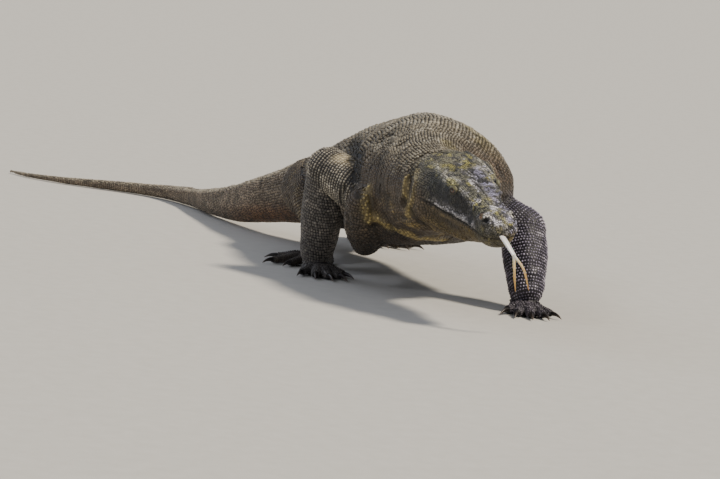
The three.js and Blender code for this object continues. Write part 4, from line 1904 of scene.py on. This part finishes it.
@dataclass(frozen=True)
class Claws:
    """Hooked claws, taller than wide, with a grooved underside."""

    placing: Placing
    rings: int = 26
    sides: int = 20
    length: float = 29.0  # mm

    def build(self, leg: Leg, number: int, finish: bpy.types.Material) -> None:
        """One claw: rings on an arc that falls faster towards the point.

        An attribute runs from root (0) to point (1).

        Args:
            leg: the leg that it is on.
            number: which toe, from 1.
            finish: the claw's material.
        """
        turn, reach = leg.turns[number - 1], leg.reaches[number - 1]
        s, a = around(np.linspace(0, 1, self.rings), self.sides)
        root = foot_point(leg, turn, reach + 0.5, 0)
        ahead = unit(foot_point(leg, turn, reach + 1, 0)[None] - foot_point(leg, turn, reach, 0))[0]
        across = np.array([-ahead[1], ahead[0], 0])
        height = 9.4 + 1.0 * np.sin(np.pi * s * 0.8) - 7.6 * s**2.4  # up, then down to the point
        fat = 4.9 * (1 - s) ** 0.62 + 0.25
        under = 1 - 0.22 * bell(a, 1.5 * np.pi, 0.5)  # the groove
        points = (
            root
            + ahead * (self.length * s)[:, None]
            + across * (fat * 0.8 * np.cos(a))[:, None]
            + np.array([0, 0, 1.0]) * (height + fat * 1.1 * np.sin(a) * under)[:, None]
        )
        points[:, 2] = np.maximum(points[:, 2], 0.3)
        name, faces = f"talon_{leg.name}_{number}", tube_faces(self.rings, self.sides)
        thing = write_mesh(name, self.placing.metres(points), *faces)
        face_outwards(thing)
        layer = thing.data.attributes.new("from_root", "FLOAT", "POINT")
        layer.data.foreach_set("value", s.astype(np.float32))
        dress(thing, finish)
        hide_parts(f"{leg.name}_claw_{number}")


# ---- Finishes --------------------------------------------------------------------------


def feed(node: bpy.types.Node, inputs: dict | tuple) -> None:
    """Sets or links a node's inputs.

    Args:
        node: the node.
        inputs: input names to values, or values in the inputs' order; a value is a
            constant or another node's output.
    """
    for key, value in inputs.items() if isinstance(inputs, dict) else enumerate(inputs):
        if isinstance(value, bpy.types.NodeSocket):
            node.id_data.links.new(value, node.inputs[key])
        else:
            node.inputs[key].default_value = value


def add_node(
    tree: bpy.types.NodeTree,
    kind: str,
    inputs: dict | tuple = (),
    stops: tuple[tuple[float, str], ...] = (),
    output: int | str = 0,
    **settings: object,
) -> bpy.types.NodeSocket:
    """Adds a node, sets it up and links its inputs.

    Args:
        tree: the material's node tree.
        kind: the node's type without the ShaderNode prefix.
        inputs: what feed() puts into it.
        stops: a colour ramp's places and hex colours.
        output: the number or name of the output that is wanted.
        settings: the node's own properties.

    Returns:
        That output.
    """
    node = tree.nodes.new("ShaderNode" + kind)
    for key, value in settings.items():
        setattr(node, key, value)
    feed(node, inputs)
    if stops:
        elements = node.color_ramp.elements
        while len(elements) < len(stops):
            elements.new(0.5)
        for element, (place, colour) in zip(elements, stops):
            element.position = place
            element.color = (*linear(colour), 1)
    return node.outputs[output]


def shell(name: str) -> tuple[bpy.types.Material, bpy.types.NodeTree, bpy.types.Node]:
    """A new material with one principled shader.

    Args:
        name: the finish's name.

    Returns:
        The material, its tree and the shader node.
    """
    material = bpy.data.materials.new(name)
    material.use_nodes = True
    tree = material.node_tree
    return material, tree, tree.nodes["Principled BSDF"]


@dataclass(frozen=True)
class HideFinish:
    """Reptile hide: dry keratin over dark skin, with granules between the scales."""

    name: str = "komodo_hide"
    granule: float = 0.0024  # m, the small grains between scales
    wrinkle: float = 0.011  # m
    roughness: tuple[float, float] = (0.42, 0.68)
    bump: float = 0.0007  # m
    ior: float = 1.5

    def build(self) -> bpy.types.Material:
        """Colour from the animal's markings, broken up by grains and fine wrinkles.

        Returns:
            The material.
        """
        material, tree, shader = shell(self.name)
        own = add_node(tree, "Attribute", attribute_name="colour")
        where = add_node(tree, "TexCoord", output="Object")
        grain = {"Vector": where, "Scale": 1 / self.granule}
        grains = add_node(tree, "TexVoronoi", grain, output="Distance")
        wrinkle = {"Vector": where, "Scale": 1 / self.wrinkle, "Detail": 5.0, "Roughness": 0.62}
        folds = add_node(tree, "TexNoise", wrinkle, output="Fac")
        light = add_node(tree, "MapRange", (folds, 0.3, 0.7, 0.7, 1.25))
        shade = add_node(tree, "MapRange", (grains, 0.0, 0.75, 1.15, 0.6))
        both = add_node(tree, "Math", (light, shade), operation="MULTIPLY")
        colour = add_node(tree, "VectorMath", {0: own, "Scale": both}, operation="SCALE")
        rough = add_node(tree, "MapRange", (folds, 0.3, 0.7, *self.roughness))
        height = add_node(tree, "Math", (folds, grains), operation="SUBTRACT")
        relief = {"Height": height, "Distance": self.bump, "Strength": 0.8}
        bump = add_node(tree, "Bump", relief)
        feed(shader, {"Base Color": colour, "Roughness": rough, "Normal": bump, "IOR": self.ior})
        return material


@dataclass(frozen=True)
class ScaleFinish:
    """Scale keratin: hard, worn at the top, a little glossy where it is wet."""

    name: str = "komodo_scales"
    grain: float = 0.0016  # m, the fine pits of worn keratin
    mottle: float = 0.006  # m
    roughness: tuple[float, float] = (0.26, 0.5)
    bump: float = 0.0002  # m
    ior: float = 1.54

    def build(self) -> bpy.types.Material:
        """Colour from the animal's markings with a fine mottle.

        Returns:
            The material.
        """
        material, tree, shader = shell(self.name)
        own = add_node(tree, "Attribute", attribute_name="colour")
        where = add_node(tree, "TexCoord", output="Object")
        cloud = {"Vector": where, "Scale": 1 / self.mottle, "Detail": 3.0, "Roughness": 0.6}
        mottle = add_node(tree, "TexNoise", cloud, output="Fac")
        pit = {"Vector": where, "Scale": 1 / self.grain, "Detail": 2.0}
        pits = add_node(tree, "TexNoise", pit, output="Fac")
        light = add_node(tree, "MapRange", (mottle, 0.3, 0.7, 0.72, 1.28))
        colour = add_node(tree, "VectorMath", {0: own, "Scale": light}, operation="SCALE")
        rough = add_node(tree, "MapRange", (mottle, 0.3, 0.7, *self.roughness))
        bump = add_node(tree, "Bump", {"Height": pits, "Distance": self.bump, "Strength": 0.6})
        feed(shader, {"Base Color": colour, "Roughness": rough, "Normal": bump, "IOR": self.ior})
        return material


@dataclass(frozen=True)
class BandedFinish:
    """A finish whose colour runs along one of the piece's own attributes."""

    name: str
    attribute: str
    reach: tuple[float, float]  # the attribute's values at the first and last stop
    stops: tuple[tuple[float, str], ...]
    grain: float  # noise cells in a metre
    wander: float  # how far the grain moves the bands, as a share of the reach
    bump: float  # m
    shader: dict[str, float]

    def build(self) -> bpy.types.Material:
        """Colour bands with fingered edges, and the same grain as relief.

        Returns:
            The material.
        """
        material, tree, shader = shell(self.name)
        own = add_node(tree, "Attribute", attribute_name=self.attribute, output="Fac")
        where = add_node(tree, "TexCoord", output="Object")
        noise_in = {"Vector": where, "Scale": self.grain, "Detail": 3.0}
        grain = add_node(tree, "TexNoise", noise_in, output="Fac")
        share = add_node(tree, "MapRange", (own, *self.reach, 0.0, 1.0))
        wander = add_node(tree, "MapRange", (grain, 0.3, 0.7, -self.wander, self.wander))
        place = add_node(tree, "Math", (share, wander), operation="ADD")
        colour = add_node(tree, "ValToRGB", (place,), self.stops)
        feed(shader, {"Base Color": colour, **self.shader})
        if self.bump:
            relief = {"Height": grain, "Distance": self.bump, "Strength": 0.5}
            feed(shader, {"Normal": add_node(tree, "Bump", relief)})
        return material


# Taxidermy glass: black pupil to 2.3 mm, brown iris to 6.2 mm, a clear wet surface.
GLASS_EYE = BandedFinish(
    name="glass_eye",
    attribute="from_pupil",
    reach=(0.0, 10.0),
    stops=(
        (0.0, "#050404"), (0.21, "#070504"), (0.25, "#3a2210"), (0.42, "#4f2f16"),
        (0.62, "#2a1a0e"), (0.7, "#15100c"), (1.0, "#1d1814"),
    ),
    grain=900.0,
    wander=0.05,
    bump=0.0,
    shader={"Roughness": 0.08, "Coat Weight": 1.0, "Coat Roughness": 0.03},
)
# Claw horn: dark, polished along its length, paler and worn at the point.
CLAW_HORN = BandedFinish(
    name="claw_horn",
    attribute="from_root",
    reach=(0.0, 1.0),
    stops=((0.0, "#1b1716"), (0.5, "#2a2422"), (0.85, "#4a4039"), (1.0, "#75685a")),
    grain=1 / 0.0012,
    wander=0.08,
    bump=0.0002,
    shader={"Roughness": 0.33},
)
# Tongue flesh: wet and pale at the stem, yellow towards the points of the tines.
TONGUE_FLESH = BandedFinish(
    name="tongue_flesh",
    attribute="down",
    reach=(44.0, 142.0),
    stops=(
        (0.0, "#f8efec"), (0.25, "#fefcfb"), (0.4, "#f0d9a4"), (0.7, "#e0b56a"), (1.0, "#c99a52"),
    ),
    grain=500.0,
    wander=0.06,
    bump=0.0003,
    shader={"Roughness": 0.3, "Subsurface Weight": 0.15, "Subsurface Scale": 0.004},
)


# ---- Studio ----------------------------------------------------------------------------


@dataclass(frozen=True)
class Lamp:
    """One far lamp that lights floor and animal evenly."""

    name: str
    towards: Row  # the direction in which it stands
    softness: float  # its width in degrees, as seen from the animal
    strength: float  # light on a surface that faces it, in watts a square metre
    colour: str
    away: float = 5.0  # m; a far lamp lights the same from anywhere

    def build(self) -> None:
        """Puts the lamp into the scene."""
        data = bpy.data.lights.new(self.name, "SUN")
        data.angle = math.radians(self.softness)
        data.energy = self.strength
        data.color = linear(self.colour)
        lamp = bpy.data.objects.new(self.name, data)
        towards = Vector(self.towards)
        lamp.location = towards * self.away
        lamp.rotation_euler = (-towards).to_track_quat("-Z", "Y").to_euler()
        bpy.context.scene.collection.objects.link(lamp)


@dataclass(frozen=True)
class Studio:
    """A pale floor, soft lights and the camera at the animal's right front."""

    LAMPS = (
        Lamp("key", (0.55, -0.35, 0.95), 10.0, 3.8, "#fff4e2"),
        Lamp("fill", (-0.9, -0.45, 0.6), 10.0, 0.5, "#eef2ff"),
        Lamp("rim", (-0.5, 0.8, 0.6), 30.0, 0.5, "#e4ebff"),
    )

    azimuth: float = -25.0  # degrees
    elevation: float = 7.0
    roll: float = 6.0
    focal: float = 164.5  # mm on a 36 mm wide sensor
    sensor: float = 36.0  # mm
    standpoint: Row = (-3.0849, -6.9133, 0.9625)  # m
    sight: float = 100.0  # m, the farthest that the camera sees
    sky: str = "#dfe5ee"
    sky_strength: float = 0.36
    floor_half: float = 40.0  # m
    floor_drop: float = 0.0005  # m under the feet

    def camera(self) -> None:
        """Sets the camera at its standpoint, turned by azimuth, elevation and roll."""
        a, e, r = (math.radians(v) for v in (self.azimuth, self.elevation, self.roll))
        back = Vector((math.sin(a) * math.cos(e), -math.cos(a) * math.cos(e), math.sin(e)))
        side = Vector((math.cos(a), math.sin(a), 0.0))
        right = side * math.cos(r) + back.cross(side) * math.sin(r)
        data = bpy.data.cameras.new("camera")
        data.lens = self.focal
        data.sensor_width = self.sensor
        data.clip_end = self.sight
        camera = bpy.data.objects.new("camera", data)
        turn = Matrix((right, back.cross(right), back)).transposed().to_4x4()
        camera.matrix_world = Matrix.Translation(Vector(self.standpoint)) @ turn
        bpy.context.scene.collection.objects.link(camera)
        bpy.context.scene.camera = camera

    def world(self) -> None:
        """An even, faintly blue sky."""
        world = bpy.data.worlds.new("sky")
        world.use_nodes = True
        sky = world.node_tree.nodes["Background"]
        feed(sky, {"Color": (*linear(self.sky), 1), "Strength": self.sky_strength})
        bpy.context.scene.world = world

    def floor(self) -> None:
        """A wide pale floor just under the feet."""
        half = self.floor_half
        corners = np.array([(-half, -half), (half, -half), (half, half), (-half, half)])
        points = np.column_stack([corners, np.full(4, -self.floor_drop)])
        floor = write_mesh("floor", points, np.array([4]), np.arange(4))
        material, tree, shader = shell("pale_floor")
        where = add_node(tree, "TexCoord", output="Object")
        cloud = {"Vector": where, "Scale": 30.0, "Detail": 4.0}
        grain = add_node(tree, "TexNoise", cloud, output="Fac")
        colour = add_node(tree, "ValToRGB", (grain,), ((0.3, "#c9c6bf"), (0.7, "#cfccc5")))
        feed(shader, {"Base Color": colour, "Roughness": 0.85})
        floor.data.materials.append(material)

    def build(self) -> None:
        """Sets up camera, lamps, sky and floor."""
        self.camera()
        for lamp in self.LAMPS:
            lamp.build()
        self.world()
        self.floor()


# ---- The whole -------------------------------------------------------------------------


def dress(thing: bpy.types.Object, material: bpy.types.Material) -> None:
    """Gives a piece its finish and rides it on the body.

    Args:
        thing: the piece.
        material: its finish.
    """
    thing.data.materials.clear()
    thing.data.materials.append(material)
    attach(thing, "root")


def main() -> None:
    """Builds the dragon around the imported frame."""
    logging.basicConfig(level=logging.INFO, format="%(name)s: %(message)s")
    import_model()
    placing = Placing()
    Studio().build()
    flesh = Flesh()
    animal = Animal(flesh, Markings(flesh), placing)
    Hide(animal).build()
    scales = ScaleFinish().build()
    Coat(animal).build(scales)
    glass = GLASS_EYE.build()
    for name, side in (("left", 1), ("right", -1)):
        Eyes(placing).build(name, side, glass)
        Lids(placing).build(name, side, scales)
    Tongue(placing).build()
    horn = CLAW_HORN.build()
    for leg in LEGS:
        for number in range(1, len(leg.turns) + 1):
            Claws(placing).build(leg, number, horn)


if __name__ == "__main__":
    main()
